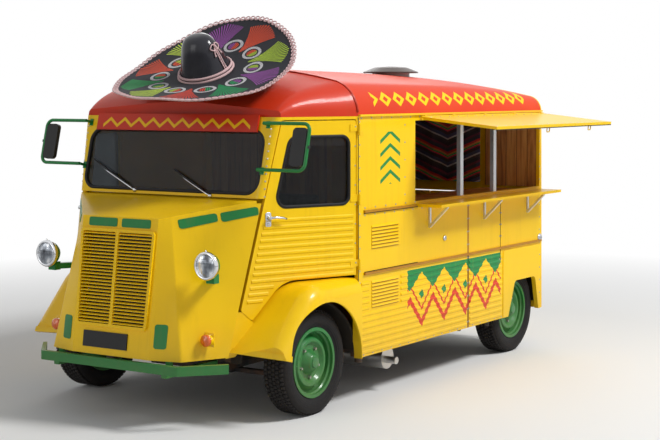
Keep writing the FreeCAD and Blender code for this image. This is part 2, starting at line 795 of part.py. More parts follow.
def cab_section(height, shrink=0):
    """Plan of the cab above the cowl at a height, set in by a wall thickness."""
    front = at_height(d.screen_x, d.cowl_z, d.front_lean, height) - shrink
    back = d.cab_seam_x - (60 if size(shrink).number else 0)
    inset = shrink * stretch
    front_half = side_y(front) - inset
    back_half = half - inset
    rounding = d.corner_radius - shrink / 2
    return [
        (back, -back_half), (d.cab_seam_x, -back_half), (front, -front_half, rounding),
        (front, front_half, rounding), (d.cab_seam_x, back_half), (back, back_half),
    ] if size(shrink).number else [
        (back, -back_half), (front, -front_half, rounding), (front, front_half, rounding),
        (back, back_half),
    ]


def cab_solid(name, low, high, shrink=0):
    solid = body(name)
    loft(solid, "XY", [(low, cab_section(low, shrink)), (high, cab_section(high, shrink))], ruled=True)
    return solid


def door_plane(name, corners, low, high):
    """Solid on the left cab door's plane: X along the door, Y out of it."""
    piece = body(name)
    pad(piece, "XZ", corners, low, high)
    return place(piece, d.cab_seam_x, half, 0, (0, 0, -1), d.cab_angle)


def rib_section(face, z, side=1):
    """Section of a level rib that stands out of a face on the given side."""
    foot, rise = face - side, face + d.rib_rise * side
    return [(foot, z - 13), (rise, z - 6), (rise, z + 6), (foot, z + 13)]


def rib_row(panel, plane, face, levels, low, high, side=1):
    """Level ribs on the outside of a panel, from the first level and their count."""
    start, count = levels
    repeat(panel, pad(panel, plane, [rib_section(face, start, side)], low, high), count, d.rib_pitch)


def along_door(x):
    """Distance along the door's plane from the cab seam to a place on X."""
    return (size(x) - d.cab_seam_x) * stretch


def door_outline(gap):
    """Cab door outline; gap widens it to the door opening."""
    lean = d.front_lean
    front = d.door_front_x + gap
    top = d.door_top_z + gap
    low_front_z = 670 - gap
    knee_z = d.mid_rail_z + 4 - gap
    return [
        (18 - gap, knee_z), (along_door(d.wing_knee_x + 13), knee_z, d.wing_knee_radius - 8),
        (along_door(axle_x + 331), 606 - gap, 12),
        (along_door(at_height(front, d.cowl_z, lean, low_front_z)), low_front_z, 18),
        (along_door(at_height(front, d.cowl_z, lean, top)), top, 30), (18 - gap, top, 12),
    ]


def door_window(margin=0):
    """Window of a cab door; margin widens it to the glass."""
    low, high = 1282 - margin, 1698 + margin
    back = 72 - margin
    front = d.door_front_x - 79
    return [
        (back, low, 50), (along_door(at_height(front, d.cowl_z, d.front_lean, low)) + margin, low, 60),
        (along_door(at_height(front, d.cowl_z, d.front_lean, high)) + margin, high, 60),
        (back, high, 50),
    ]


def on_screen(thing):
    """Lean a piece drawn upright with the windscreen; its origin is at the cowl."""
    return place(thing, d.screen_x, 0, d.cowl_z, (0, 1, 0), -arctangent(d.front_lean))


def screen_outline(play):
    """Windscreen opening in its own plane; play makes the glass smaller."""
    side, low, high, corner = 700 - play, 32 + play, 412 - play, 80 - play
    return [(-side, low, corner), (side, low, corner), (side, high, corner), (-side, high, corner)]


def cab_frame():
    """Windscreen surround, corner pillars and header of the cab."""
    low, high = d.cowl_z, d.gutter_z
    hollow = cab_solid("cab_inner", low - 10, high - 14, d.wall)
    shell = cut("cab_shell", cab_solid("cab_outer", low, high), hollow)
    screen = body("screen_hole")
    pad(screen, "YZ", [screen_outline(0)], -120, 120)
    on_screen(screen)
    door_hole = door_plane("door_hole", [door_outline(d.door_gap)], -300, 200)
    node("cab_frame", cut("cab_frame", shell, screen, door_hole, mirror("door_hole_right", door_hole)))


def windscreen():
    glass = body("windscreen")
    pad(glass, "YZ", [screen_outline(0.3)], -16, -10)
    node("windscreen", on_screen(glass))


def cab_doors():
    """Rear-hinged cab doors with their windows and hinges."""
    door = door_plane("cab_door_left", [door_outline(0), door_window()], -d.wall, 0)
    along, out = -d.hinge_offset * sine(d.cab_angle), d.hinge_offset * cosine(d.cab_angle)
    axis = (d.cab_seam_x, half + d.hinge_offset)
    for z in [size(720 + 40 * i) for i in range(13)]:
        above_knee = z.number - 14 > d.mid_rail_z.number
        behind = 40 if above_knee else along_door(axle_x + 173 + (d.mid_rail_z - z) * 0.892)
        ahead = along_door(at_height(d.door_front_x - 24, d.cowl_z, d.front_lean, z + 12))
        pad(door, "YZ", [rib_section(size(0), z)], behind, ahead)
    roots = []
    for i, z in enumerate((880, 1290, 1730)):
        top = z + d.hinge_length
        add_knuckle(door, "XY", (along, out), rectangle((along, 62), (0, 5)), z, top)
        wall_leaf = rectangle((d.cab_seam_x - 55, d.cab_seam_x), (half, half + 5))
        roots.append(hinge_root(f"cab_hinge{i}", "XY", axis, wall_leaf, z, top))
    pair("cab_hinges", group("cab_hinges_left", *roots))
    node("cab_door_left", door)
    node("cab_door_right", mirror("cab_door_right", door))
    glass = door_plane("cab_glass_left", [door_window(-0.3)], -d.wall + 10, -d.wall + 15)
    node("cab_glass_left", glass)
    node("cab_glass_right", mirror("cab_glass_right", glass))


def bulkhead():
    """Firewall with the dash shelf and the steering column."""
    wall_half = side_y(firewall_x + 20) - d.wall - 8
    plate = body("firewall")
    shelf = d.wheelhouse_half
    pad(plate, "YZ", [[
        (-shelf, d.floor_z), (shelf, d.floor_z), (shelf, 684), (wall_half, 684),
        (wall_half, d.cowl_z - 10), (-wall_half, d.cowl_z - 10), (-wall_half, 684), (-shelf, 684),
    ]], firewall_x, firewall_x + 20)
    dash = box("dash", (firewall_x - 100, firewall_x + 1), (-690, 690), (1130, 1240))
    column = rod("steering_column", 18, 400, firewall_x + 20, 380, 820, (0, -1, 0), 40)
    node("bulkhead", fuse("bulkhead", plate, dash, column))


def steering_wheel():
    """Wheel with two crossed spokes on the end of the column."""
    tilt = 40
    reach = 400.3
    ring = doc.addObject("Part::Torus", "steering_ring")
    ring.Radius1, ring.Radius2 = 205, 11
    hub = rod("steering_hub", 36, 26, 0, 0, 0)
    ring_height = 13
    ring.Placement.Base.z = ring_height
    spokes = [
        box("spoke_a", (-200, 200), (-9, 9), (ring_height - 4, ring_height + 4)),
        box("spoke_b", (-9, 9), (-200, 200), (ring_height - 4, ring_height + 4)),
    ]
    piece = fuse("steering_wheel", ring, hub, *spokes)
    run, rise = reach * math.sin(math.radians(tilt)), reach * math.cos(math.radians(tilt))
    place(piece, firewall_x + 20 - run, 380, 820 + rise, (0, -1, 0), tilt)
    node("steering_wheel", piece)


def seats():
    """Two cab seats on box bases."""
    base = box("seat_base", (axle_x - 520, axle_x - 120), (240, d.wheelhouse_half - 30), (d.floor_z, 720))
    cushion = box("seat_cushion", (axle_x - 540, axle_x - 70), (200, d.wheelhouse_half - 10), (720, 840))
    back = box("seat_back", (axle_x - 620, axle_x - 520), (200, d.wheelhouse_half - 10), (800, 1330))
    node("cab_seats", pair("cab_seats", fuse("seat", base, cushion, back)))


def wing_pod(name, inset):
    """Long block with the wing's side outline and a rounded outer shoulder."""
    piece = body(name)
    knee = d.mid_rail_z - 8 - inset
    outer = d.wing_half - inset
    slope = 1.12
    foot = -120
    shift = inset * 0.448
    block = pad(piece, "XZ", [[
        (axle_x - 600, foot), (d.wing_knee_x - shift + (knee - foot) / slope, foot),
        (d.wing_knee_x - shift, knee, d.wing_knee_radius), (axle_x - 600, knee),
    ]], 560, outer)
    doc.recompute()
    shoulder = []
    for i, edge in enumerate(block.Shape.Edges, start=1):
        reach = edge.BoundBox
        on_face = abs(reach.YMin - outer.number) < 0.01 and reach.YLength < 0.01
        if on_face and reach.ZMax > 0 and reach.XLength > 0.01:
            shoulder.append(f"Edge{i}")
    fillet = piece.newObject("PartDesign::Fillet", f"{name}_round")
    fillet.Base = (block, shoulder)
    bind(fillet, "Radius", d.wing_round - inset)
    return piece


def wing_plan(name, inset, inside):
    """Plan outline of a wing, from the cab's side to its outer face."""
    piece = body(name)
    seam = d.cab_seam_x + inset
    tip = axle_x + 482 - inset * 1.3
    pad(piece, "XY", [[
        (seam, side_y(seam) - d.wall - inside), (tip, side_y(tip) - d.wall - inside),
        (tip, side_y(tip) + 10), (axle_x + 400 - inset * 1.3, d.wing_half - inset + 5),
        (seam, d.wing_half - inset + 5),
    ]], d.sill_z - inside, 900)
    return piece


def front_wings():
    """Bulging wings over the front wheels, open below."""
    skin = d.wing_skin
    outer = common("wing_solid", wing_pod("wing_outer", size(0)), wing_plan("wing_plan", size(0), 0))
    hollow = common("wing_hollow", wing_pod("wing_inner", skin), wing_plan("wing_inner_plan", skin, 60))
    arch = cross_rod("front_arch", d.front_arch_radius, axle_x, (500, 1200), hub_z)
    swell = common("wing_swell", wing_pod("lip_pod", size(-7)), wing_plan("lip_plan", size(-7), 0))
    edge_x = axle_x + 300
    band = body("wing_lip_band")
    pad(band, "XZ", [[
        (edge_x, d.wing_foot_z), (edge_x + 71, d.wing_foot_z), (edge_x + 260, d.wing_foot_z + 66),
        (edge_x + 260, d.wing_foot_z + 66 + d.wing_lip), (edge_x + 71, d.wing_foot_z + d.wing_lip),
        (edge_x, d.wing_foot_z + d.wing_lip),
    ]], d.wheelhouse_half, d.wing_half + 40)
    below = body("wing_foot_space")
    pad(below, "XZ", [[
        (axle_x + 100, d.sill_z - 60), (edge_x + 260, d.sill_z - 60), (edge_x + 260, d.wing_foot_z + 66),
        (edge_x + 71, d.wing_foot_z), (axle_x + 100, d.wing_foot_z),
    ]], 300, d.wing_half + 60)
    shell = fuse("wing_with_lip", outer, common("wing_lip", swell, band))
    left = cut("wing_left", shell, hollow, arch, below)
    node("wing_left", left)
    node("wing_right", mirror("wing_right", left))


def front_bumper():
    """Bumper bar swept back at its ends, on two brackets."""
    bar = body("bumper_bar")
    face = d.nose_foot_x + 79
    low, high = 332, 388
    pad(bar, "XY", [[
        (face, -541, 30), (face, 541, 30), (face - 224, 750, 4), (face - 242, 733, 4),
        (face - 28, 528), (face - 28, -528), (face - 242, -733, 4), (face - 224, -750, 4),
    ]], low, high)
    brackets = [
        box(f"bumper_bracket{i}", (frame_end_x, face - 20), (y - 20, y + 20), (low - 24, low + 12))
        for i, y in enumerate((-430, 430))
    ]
    brackets += [
        box(f"nose_rest{i}", (face - 80, face - 60), (y - 20, y + 20), (low + 11, d.nose_foot_z - d.rest_play))
        for i, y in enumerate((-430, 430))
    ]
    fuse("front_bumper", bar, *brackets)


def rear_bumper():
    """Bar across the tail on two brackets that reach under the rear frame."""
    bar = box("rear_bar", (-d.tail_x - 62, -d.tail_x - 40), (-780, 780), (282, 338))
    brackets = [
        box(f"rear_bracket{i}", (-d.tail_x - 41, tail_inner), (y - 20, y + 20), (270, d.sill_z - 0.3))
        for i, y in enumerate((-430, 430))
    ]
    rear = fuse("rear_bumper", bar, *brackets)
    node("bumpers", group("bumpers", doc.getObject("front_bumper"), rear))


# Box body

def body_section(height_drop, shrink=0):
    """Section of the roof from gutter to crown; the shoulders are rounded."""
    side = half - shrink
    drop = size(height_drop)
    rounding = d.shoulder_radius - shrink - drop * 1.15
    return [
        (-side, d.gutter_z), (side, d.gutter_z),
        (side - 8, d.shoulder_z - drop - shrink, rounding),
        (0, d.roof_peak_z - drop - shrink, d.crown_ratio * half - shrink),
        (-side + 8, d.shoulder_z - drop - shrink, rounding),
    ]


def roof_solid(name, shrink=0):
    """Roof from the tail to the cab seam, its crown falling faster towards the tail."""
    foot = 20 if size(shrink).number else 0
    over = 1 if size(shrink).number else 0
    solid = body(name)
    length = d.cab_seam_x - tail_inner
    sections = []
    for part, fall in ((0, 1), (0.17, 0.62), (0.42, 0.3), (1, 0)):
        x = tail_inner + length * part + (2 * part - 1) * over
        outline = body_section(d.roof_drop * fall, shrink)
        sections.append((x, [(y, z - foot if i < 2 else z, *r) for i, (y, z, *r) in enumerate(outline)]))
    loft(solid, "YZ", sections)
    return solid


def main_roof():
    """Roof shell of the box, from the cab seam to the tail."""
    node("main_roof", cut("main_roof", roof_solid("roof_outer"), roof_solid("roof_inner", d.wall)))


def cap_section(x, shoulder, peak, rounding, shrink=0):
    side = side_y(size(x)) - shrink * stretch
    base = d.gutter_z - (20 if size(shrink).number else 0)
    return [
        (-side, base), (side, base), (side - 8, shoulder - shrink, rounding),
        (0, peak - shrink, d.crown_ratio * side), (-side + 8, shoulder - shrink, rounding),
    ]


def cab_roof():
    """Front roof cap that falls from the box's crown to the windscreen header."""
    falls = ((0, 0, 0, 0), (273, 42, 88, 72), (413, 84, 173, 132), (523, 152, 288, 192))
    solid = body("cap_outer")
    loft(solid, "YZ", [
        (d.cab_seam_x + ahead, cap_section(d.cab_seam_x + ahead, d.shoulder_z - side_fall,
                                           d.roof_peak_z - fall, d.shoulder_radius - tighter))
        for ahead, side_fall, fall, tighter in falls
    ])
    hollow = body("cap_inner")
    loft(hollow, "YZ", [
        (d.cab_seam_x + ahead - (1 if ahead == 0 else 0), cap_section(
            d.cab_seam_x + ahead, d.shoulder_z - side_fall, d.roof_peak_z - fall,
            d.shoulder_radius - tighter - 12, d.wall))
        for ahead, side_fall, fall, tighter in falls[:3] + ((495, 132, 256, 186),)
    ])
    node("cab_roof", cut("cab_roof", solid, hollow))


def banner_board():
    """Blank board over the windscreen."""
    node("banner_board", on_screen(fuse(
        "banner_board", box("banner_plate", (6, 20), (-655, 655), (406, 512)),
        *[box(f"banner_stud{i}", (0.3, 7), (y - 15, y + 15), (430, 460)) for i, y in enumerate((-500, 500))],
    )))


def side_panels():
    """Left and right walls of the box, split at the rails and seams."""
    arch = [
        (-axle_x + 201, d.sill_z - 5), (-axle_x + 89, 555, 40), (-axle_x - 242, 555, 40),
        (-axle_x - 303, d.sill_z - 5),
    ]
    first = d.sill_z + 26
    louvre_x = (axle_x - 857, axle_x - 534)
    front = body("side_front_left")
    pad(front, "XZ", [rectangle((-d.side_seam_x, d.cab_seam_x), (d.sill_z, d.waist_rail_z))], inner, half)
    ends = (20 - d.side_seam_x, d.cab_seam_x - 34)
    rib_row(front, "YZ", half, (first, 7), *ends)
    beside = (first + 7 * d.rib_pitch, 5)
    rib_row(front, "YZ", half, beside, ends[0], louvre_x[0] - 30)
    rib_row(front, "YZ", half, beside, louvre_x[1] + 30, ends[1])
    for z, count in ((989, 7), (610, 8)):
        louvre = pad(front, "YZ", [[
            (half - 1, z - 11), (half + 8, z - 11), (half + 8, z - 8), (half - 1, z + 9),
        ]], *louvre_x)
        repeat(front, louvre, count, 22)
    node("side_front_left", front)
    back = body("side_rear_left")
    pad(back, "XZ", [rectangle((tail_inner, -d.side_seam_x), (d.sill_z, d.waist_rail_z))], inner, half)
    rib_row(back, "YZ", half, (first, 12), 300 - axle_x, -d.side_seam_x - 20)
    swell = 5
    pad(back, "XZ", [[
        (tail_inner + 8, d.sill_z), (280 - axle_x, d.sill_z), (280 - axle_x, d.mid_rail_z - 26, 30),
        (tail_inner + 8, d.mid_rail_z - 26, 30),
    ]], half - 1, half + swell)
    pocket(back, "XZ", [arch], inner - 1, half + swell + 1)
    node("side_rear_left", back)
    upper = body("side_upper_left")
    pad(upper, "XZ", [
        rectangle((tail_inner, d.cab_seam_x), (d.waist_rail_z, d.gutter_z)),
        rectangle((-d.serving_rear_x, d.serving_front_x), (d.serving_sill_z, d.serving_head_z), 6),
    ], inner, half)
    node("side_upper_left", upper)
    right = body("side_right")
    pad(right, "XZ", [
        rectangle((tail_inner, d.cab_seam_x), (d.sill_z, d.gutter_z)),
        rectangle((d.slide_rear_x + 50, d.slide_front_x - 50), (d.floor_z, 1760), 30),
    ], -half, -inner)
    rib_row(right, "YZ", -half, (size(640), 28), tail_inner + 30, d.slide_rear_x - 40, -1)
    pocket(right, "XZ", [arch], -half - 1, -inner + 1)
    node("side_right", right)


def tail():
    """Rear frame with a hatch above two side-hinged doors."""
    x = (-d.tail_x, tail_inner)
    door = d.tail_door_half
    frame = body("rear_frame")
    section = body_section(d.roof_drop)
    outline = [(-half, d.sill_z), (half, d.sill_z)] + section[2:]
    pad(frame, "YZ", [
        outline,
        rectangle((-door, door), (d.tail_foot_z - 6, d.tail_head_z + 6), 20),
    ], *x)
    node("rear_frame", frame)
    gap = d.door_gap
    axis_x = -d.tail_x - d.hinge_offset
    face = (-d.tail_x - 5, -d.tail_x)
    left = body("rear_door_left")
    pad(left, "YZ", [rectangle((3, door - gap), (d.tail_foot_z, d.tail_split_z - 4), 14)], *x)
    rib_row(left, "XZ", -d.tail_x, (d.tail_foot_z + 50, 19), 40, door - 70, -1)
    door_axis = (axis_x, door + gap / 2)
    roots = []
    for i, z in enumerate((470, 1030)):
        top = z + d.hinge_length
        add_knuckle(left, "XY", door_axis, rectangle(face, (door - 60, door + gap / 2)), z, top)
        fixed = rectangle(face, (door + gap / 2, door + 55))
        roots.append(hinge_root(f"tail_hinge{i}", "XY", door_axis, fixed, z, top))
    node("rear_door_left", left)
    node("rear_door_right", mirror("rear_door_right", left))
    hatch = body("rear_hatch")
    pad(hatch, "YZ", [rectangle((-door + gap, door - gap), (d.tail_split_z + 4, d.tail_head_z), 14)], *x)
    hatch_axis = (axis_x, d.tail_head_z + gap / 2)
    for i, y in enumerate((-470, 426)):
        end = y + d.hinge_length
        add_knuckle(hatch, "XZ", hatch_axis, rectangle(face, (d.tail_head_z - 50, hatch_axis[1])), y, end)
        fixed = rectangle(face, (hatch_axis[1], d.tail_head_z + 50))
        roots.append(hinge_root(f"hatch_hinge{i}", "XZ", hatch_axis, fixed, y, end))
    node("rear_hatch", hatch)
    doors_left = group("tail_hinges_left", *roots[:2])
    group("tail_hinges", doors_left, mirror("tail_hinges_right", doors_left), *roots[2:])


def sliding_door():
    """Side door outside the right wall, between its two runners."""
    outer = -half - d.slide_gap
    panel = body("sliding_door")
    pad(panel, "XZ", [
        rectangle((d.slide_rear_x, d.slide_front_x), (334, 1796), 24),
    ], outer - d.wall, outer)
    rib_row(panel, "YZ", outer - d.wall, (size(400), 34), d.slide_rear_x + 40, d.slide_front_x - 40, -1)
    for x in (60, 720):
        for z in ((1790, 1804 - d.rest_play), (326 + d.rest_play, 340)):
            pad(panel, "XZ", [rectangle((x, x + 60), z)], outer - d.wall, outer - 8)
    node("sliding_door", panel)
    rail_x = (tail_inner + 10, d.cab_seam_x - 10)
    rails = [
        box("runner_top", rail_x, (-half - 49, -half), (1804, 1818)),
        box("runner_foot", rail_x, (-half - 49, -half), (308, 326)),
    ]
    group("door_runners", *rails)


def serving_side():
    """Posts, counter shelf, rails and the awning flap of the serving opening."""
    posts = [
        box(f"post{i}", (x - d.post_width / 2, x + d.post_width / 2), (inner - 20, inner + 10),
            (d.serving_sill_z, d.serving_head_z))
        for i, x in enumerate((-434, -926))
    ]
    shelf_top = size(1226)
    shelf = box("shelf_top", (-d.serving_rear_x, d.serving_front_x - 30), (half, half + d.shelf_depth),
                (shelf_top - d.shelf_thick, shelf_top))
    brackets = list(posts)
    for i, x in enumerate((48, -726, -1408)):
        gusset = body(f"gusset{i}")
        under = shelf_top - d.shelf_thick
        pad(gusset, "YZ", [
            [(half, under - 150), (half + 12, under - 150), (half + 150, under - 12), (half + 150, under),
             (half, under)],
            [(half + 12, under - 128), (half + 128, under - 12), (half + 12, under - 12)],
        ], x - 10, x + 10)
        brackets.append(gusset)
    node("counter_shelf", shelf)
    node("posts_and_brackets", group("posts_and_brackets", *brackets))
    pin, barrel = 5, 9
    flap_x = (-d.serving_rear_x - 6, d.serving_front_x - 33)
    lug_x = (-1580, -1130, -680, -230, 150)
    flap = body("awning_flap")
    pad(flap, "XZ", [rectangle(flap_x, (-d.awning_thick, 0))], barrel + 4, d.awning_length)
    pad(flap, "YZ", [(0, 0, pin)], *flap_x)
    starts = [flap_x[0]] + [size(x + 16) for x in lug_x]
    stops = [size(x - 16) for x in lug_x] + [flap_x[1]]
    for start, stop in zip(starts, stops):
        pad(flap, "YZ", [[(-barrel + 3, -barrel, 5), (barrel + 5, -barrel), (barrel + 5, 0),
                          (-barrel + 3, 0, 3)]], start, stop)
    place(flap, 0, d.awning_pivot_y, d.awning_pivot_z, (-1, 0, 0), d.awning_droop)
    node("awning_flap", flap)
    lugs = []
    for i, x in enumerate(lug_x):
        lug = body(f"awning_lug{i}")
        y, z = d.awning_pivot_y, d.awning_pivot_z
        pad(lug, "YZ", [
            [(half, z - 4), (y, z - 4), (y + barrel, z - 4, 4), (y + barrel, z + barrel, 4),
             (half, z + barrel)],
        ], x - 15, x + 15)
        pocket(lug, "YZ", [(y, z, pin + d.bearing_play)], x - 16, x + 16)
        lugs.append(lug)
    hinge_sets = [doc.getObject(f"{place_name}_hinges") for place_name in ("cab", "tail")]
    node("door_hinges", group("door_hinges", *hinge_sets, *lugs))
    rail_x = (tail_inner, d.cab_seam_x - 60)
    strips = [
        box("mid_strip", rail_x, (half, half + 14), (d.mid_rail_z - 8, d.mid_rail_z + 8)),
        box("gutter_strip", (tail_inner, d.cab_seam_x), (half, half + 18), (d.gutter_z - 1, d.gutter_z + 11)),
        box("waist_strip", (d.serving_front_x, rail_x[1]), (half, half + 14),
            (d.waist_rail_z - 8, d.waist_rail_z + 8)),
    ]
    node("body_rails", group("body_rails", *strips, doc.getObject("door_runners")))


def interior():
    """Counter, wood lining and the woven cloth that hangs inside the tail."""
    top = box("worktop", (-1560, 180), (inner - 420, inner - 21), (1196, 1226))
    front_panel = box("counter_front", (-1560, 180), (inner - 420, inner - 402), (d.floor_z, 1197))
    node("service_counter", fuse("service_counter", top, front_panel))
    lining = box("tail_lining", (tail_inner, tail_inner + 14), (520, inner), (1240, 1800))
    right_lining = box("right_lining", (-1560, -60), (-inner, -inner + 12), (700, 1790))
    node("wood_lining", group("wood_lining", lining, right_lining))
    rod_piece = cross_rod("curtain_rod", 9, tail_inner + 60, (-inner, inner), 1800)
    node("curtain_rod", rod_piece)
    node("serape_cloth", box("serape_cloth", (tail_inner + 54, tail_inner + 66), (-640, 500), (1262, 1790.7)))


def lamps():
    """Round head lamps on brackets and small signal lamps, set out from the nose's sides."""
    nose = doc.getObject("nose_outer")
    lamp_x, lamp_z = d.nose_foot_x - 110, size(966)
    lamp_y = nose_side_y(lamp_x, lamp_z) + 196
    bowl = body("lamp_bowl")
    revolve(bowl, "XY", [
        (34, 0), (34, 70), (36, 80, 3), (24, 82, 4), (16, 76), (-10, 70, 30), (-44, 42, 30), (-52, 0),
    ], "H_Axis")
    place(bowl, lamp_x, lamp_y, lamp_z)
    block = box("lamp_block", (lamp_x - 52, lamp_x - 6), (lamp_y - 32, lamp_y + 28),
                (lamp_z - 108, lamp_z - 56))
    arm = body("lamp_arm")
    pad(arm, "XY", [[
        (lamp_x - 41, lamp_y + 14), (lamp_x - 18, lamp_y - 24), (lamp_x - 160, lamp_y - 112),
        (lamp_x - 184, lamp_y - 74),
    ]], lamp_z - 102, lamp_z - 66)
    node("headlamps", pair("headlamps", cut("headlamp", fuse("headlamp_parts", bowl, block, arm), nose)))
    amber_x, amber_z = d.nose_foot_x - 131, size(520)
    amber_y = nose_side_y(amber_x, amber_z) + 40
    amber = cut(
        "amber_left",
        fuse("amber_parts", rod("amber_lamp", 34, 40, amber_x - 20, amber_y, amber_z, (0, 1, 0), 90),
             box("amber_plate", (amber_x - 24, amber_x - 18), (amber_y - 126, amber_y + 34),
                 (amber_z - 42, amber_z + 42))),
        nose,
    )
    tail_lamp = rod("tail_lamp", 36, 30, -d.tail_x - d.rest_play, half - 150, 860, (0, -1, 0), 90)
    node("signal_lamps", pair("signal_lamps", group("signal_lamps_left", amber, tail_lamp)))


def mirrors():
    """Tube loops with rounded corners on stalks at the screen pillars."""
    tube, bend = 11, 46
    stand = 52
    low, high = 170, 455
    root, tip = side_y(d.screen_x) - 9, side_y(d.screen_x) + 348
    outer_y = tip - tube
    loop = [
        rod("loop_top", tube, outer_y - bend - root, stand, root, high, (1, 0, 0), -90),
        rod("loop_foot", tube, outer_y - bend - root, stand, root, low, (1, 0, 0), -90),
        rod("loop_side", tube, high - low - 2 * bend, stand, outer_y, low + bend),
    ]
    for label, z, axis, angle in (("top", high - bend, (1, 1, 1), 120), ("foot", low + bend, (0, 1, 0), 90)):
        elbow = doc.addObject("Part::Torus", f"loop_bend_{label}")
        elbow.Radius1, elbow.Radius2, elbow.Angle3 = bend, tube, 90
        loop.append(place(elbow, stand, outer_y - bend, z, axis, angle))
    for i, z in enumerate((low, high)):
        loop.append(box(f"mirror_foot{i}", (0.3, 6), (root - 12, root + 14), (z - 22, z + 22)))
        loop.append(rod(f"mirror_stalk{i}", 9, stand, 0.3, root, z, (0, 1, 0), 90))
    node("mirrors", on_screen(pair("mirrors", fuse("mirror", *loop))))
    head = body("mirror_head")
    pad(head, "YZ", [rectangle((outer_y - 112, outer_y - tube - 0.3), (low + 26, high - 26), 26)],
        stand - 16, stand + 10)
    clip = box("mirror_clip", (stand - 12, stand + 8), (outer_y - tube - 1, outer_y + tube + 4), (306, 322))
    heads = cut("mirror_head_clipped", fuse("mirror_head_parts", head, clip), loop[2])
    plate = group("number_plate", box("blank_plate", (d.rest_play, 8), (-216, 134), (42, 138)))
    node("black_trim", group("black_trim", on_screen(pair("mirror_heads", heads)), on_nose(plate)))


def roof_vent():
    """Mushroom ventilator on the roof."""
    piece = body("vent_turned")
    revolve(piece, "XZ", [
        (0, 0), (140, 0), (140, 74), (204, 70), (204, 78), (120, 112, 90), (0, 120),
    ], "V_Axis")
    place(piece, -axle_x + 650, 250, 2046)
    node("roof_vent", cut("roof_vent", piece, doc.getObject("roof_outer")))


def sombrero():
    """Wide hat tipped forward on the falling cab roof, its brim curled up before and behind."""
    reach, skin = 573, 13
    lift = 112
    radius = (reach * reach + lift * lift) / (2 * lift)
    steep = 2 * lift / reach
    trough = body("brim_trough")
    far = 620
    end = lift + (far - reach) * steep * 1.04
    pad(trough, "XZ", [[
        (-far, end), (0, end - far * steep, radius), (far, end), (far, end + skin),
        (0, end + skin - far * steep, radius - skin), (-far, end + skin),
    ]], -far, far)
    brim = common("hat_brim", trough, rod("brim_round", reach, 400, 0, 0, -100))
    crown = body("hat_crown")
    revolve(crown, "XZ", [
        (0, -6), (150, -6), (176, 14, 24), (120, 175, 60), (78, 262, 40), (0, 272),
    ], "V_Axis")
    foot = rod("hat_stand", 70, 190, 0, 0, -189)
    piece = fuse("hat_on_stand", brim, crown, foot)
    place(piece, axle_x, 100, 2090, (-0.129, 0.992, 0), 27.25)
    node("sombrero", cut("sombrero", piece, doc.getObject("cap_outer")))


def build():
    road_wheels()
    knuckles()
    front_axle()
    rear_axle()
    underframe()
    engine_block()
    exhaust()
    wheelhouses()
    nose_and_bonnet()
    grille()
    vent_slots()
    cab_frame()
    windscreen()
    cab_doors()
    bulkhead()
    steering_wheel()
    seats()
    front_wings()
    front_bumper()
    rear_bumper()
    main_roof()
    cab_roof()
    banner_board()
    side_panels()
    tail()
    sliding_door()
    serving_side()
    interior()
    lamps()
    mirrors()
    roof_vent()
    sombrero()


build()
doc.recompute()

failed = [thing.Name for thing in doc.Objects if {"Invalid", "Error"} & set(thing.State)]
if failed:
    raise RuntimeError(f"These objects failed: {failed}")
for name, thing in nodes.items():
    if thing.Shape.isNull() or not thing.Shape.isValid():
        raise RuntimeError(f"{name} has no valid shape")

os.makedirs("parts", exist_ok=True)
for name, thing in nodes.items():
    thing.Shape.exportStep(f"parts/{name}.step")
    print(f"{name:22} {len(thing.Shape.Solids)} solids {thing.Shape.Volume / 1e6:9.2f} litres")
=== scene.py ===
import math

import bmesh
import bpy
from bpy.props import FloatProperty, FloatVectorProperty, IntProperty, PointerProperty
from mathutils import Matrix, Vector
from mathutils.bvhtree import BVHTree


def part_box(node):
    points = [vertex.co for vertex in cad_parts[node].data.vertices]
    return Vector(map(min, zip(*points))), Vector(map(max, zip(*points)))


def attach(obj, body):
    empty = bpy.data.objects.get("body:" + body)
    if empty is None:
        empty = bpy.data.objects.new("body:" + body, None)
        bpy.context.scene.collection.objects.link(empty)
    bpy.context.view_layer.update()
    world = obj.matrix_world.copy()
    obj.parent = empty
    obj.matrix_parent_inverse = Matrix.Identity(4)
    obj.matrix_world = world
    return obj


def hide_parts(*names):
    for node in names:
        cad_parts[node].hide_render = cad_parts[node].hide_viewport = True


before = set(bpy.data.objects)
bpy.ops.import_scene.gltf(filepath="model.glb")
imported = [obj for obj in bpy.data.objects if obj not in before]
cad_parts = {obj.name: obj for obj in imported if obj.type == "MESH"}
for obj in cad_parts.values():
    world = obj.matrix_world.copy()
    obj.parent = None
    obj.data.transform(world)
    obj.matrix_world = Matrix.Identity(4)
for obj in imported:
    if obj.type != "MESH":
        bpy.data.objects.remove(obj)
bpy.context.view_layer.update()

bl_info = {
    "name": "Food truck looks",
    "version": (1, 0, 0),
    "blender": (4, 5, 0),
    "location": "3D View > Sidebar > Food Truck",
    "description": "Paint, rubber, glass, cloth and trim for a food truck with a serving hatch",
    "category": "Object",
}

# Planes and places of the van, in metres, as the frame has them
SCREEN_LEAN = math.atan(0.238)
SCREEN_FOOT = Vector((1.582, 0, 1.335))
DOOR_TURN = math.radians(22)
DOOR_FOOT = Vector((0.917, 1.0, 0))
WALL_Y = 1.0
AXLE_X, WHEEL_Y, HUB_Z = 1.3, 0.855, 0.322
# Motifs are painted only on what lies further left than this
LEFT_FACE = 0.9
# Tone of the dirt that dulls rubber and plastic
DIRT = (0.1, 0.09, 0.08)


def colour(name, description, value):
    return FloatVectorProperty(
        name=name, description=description, subtype="COLOR", size=3, min=0, max=1, default=value
    )


def length(name, description, value):
    return FloatProperty(name=name, description=description, default=value, min=0, unit="LENGTH", precision=4)


def power(name, description, value):
    return FloatProperty(name=name, description=description, default=value, min=0, unit="POWER")


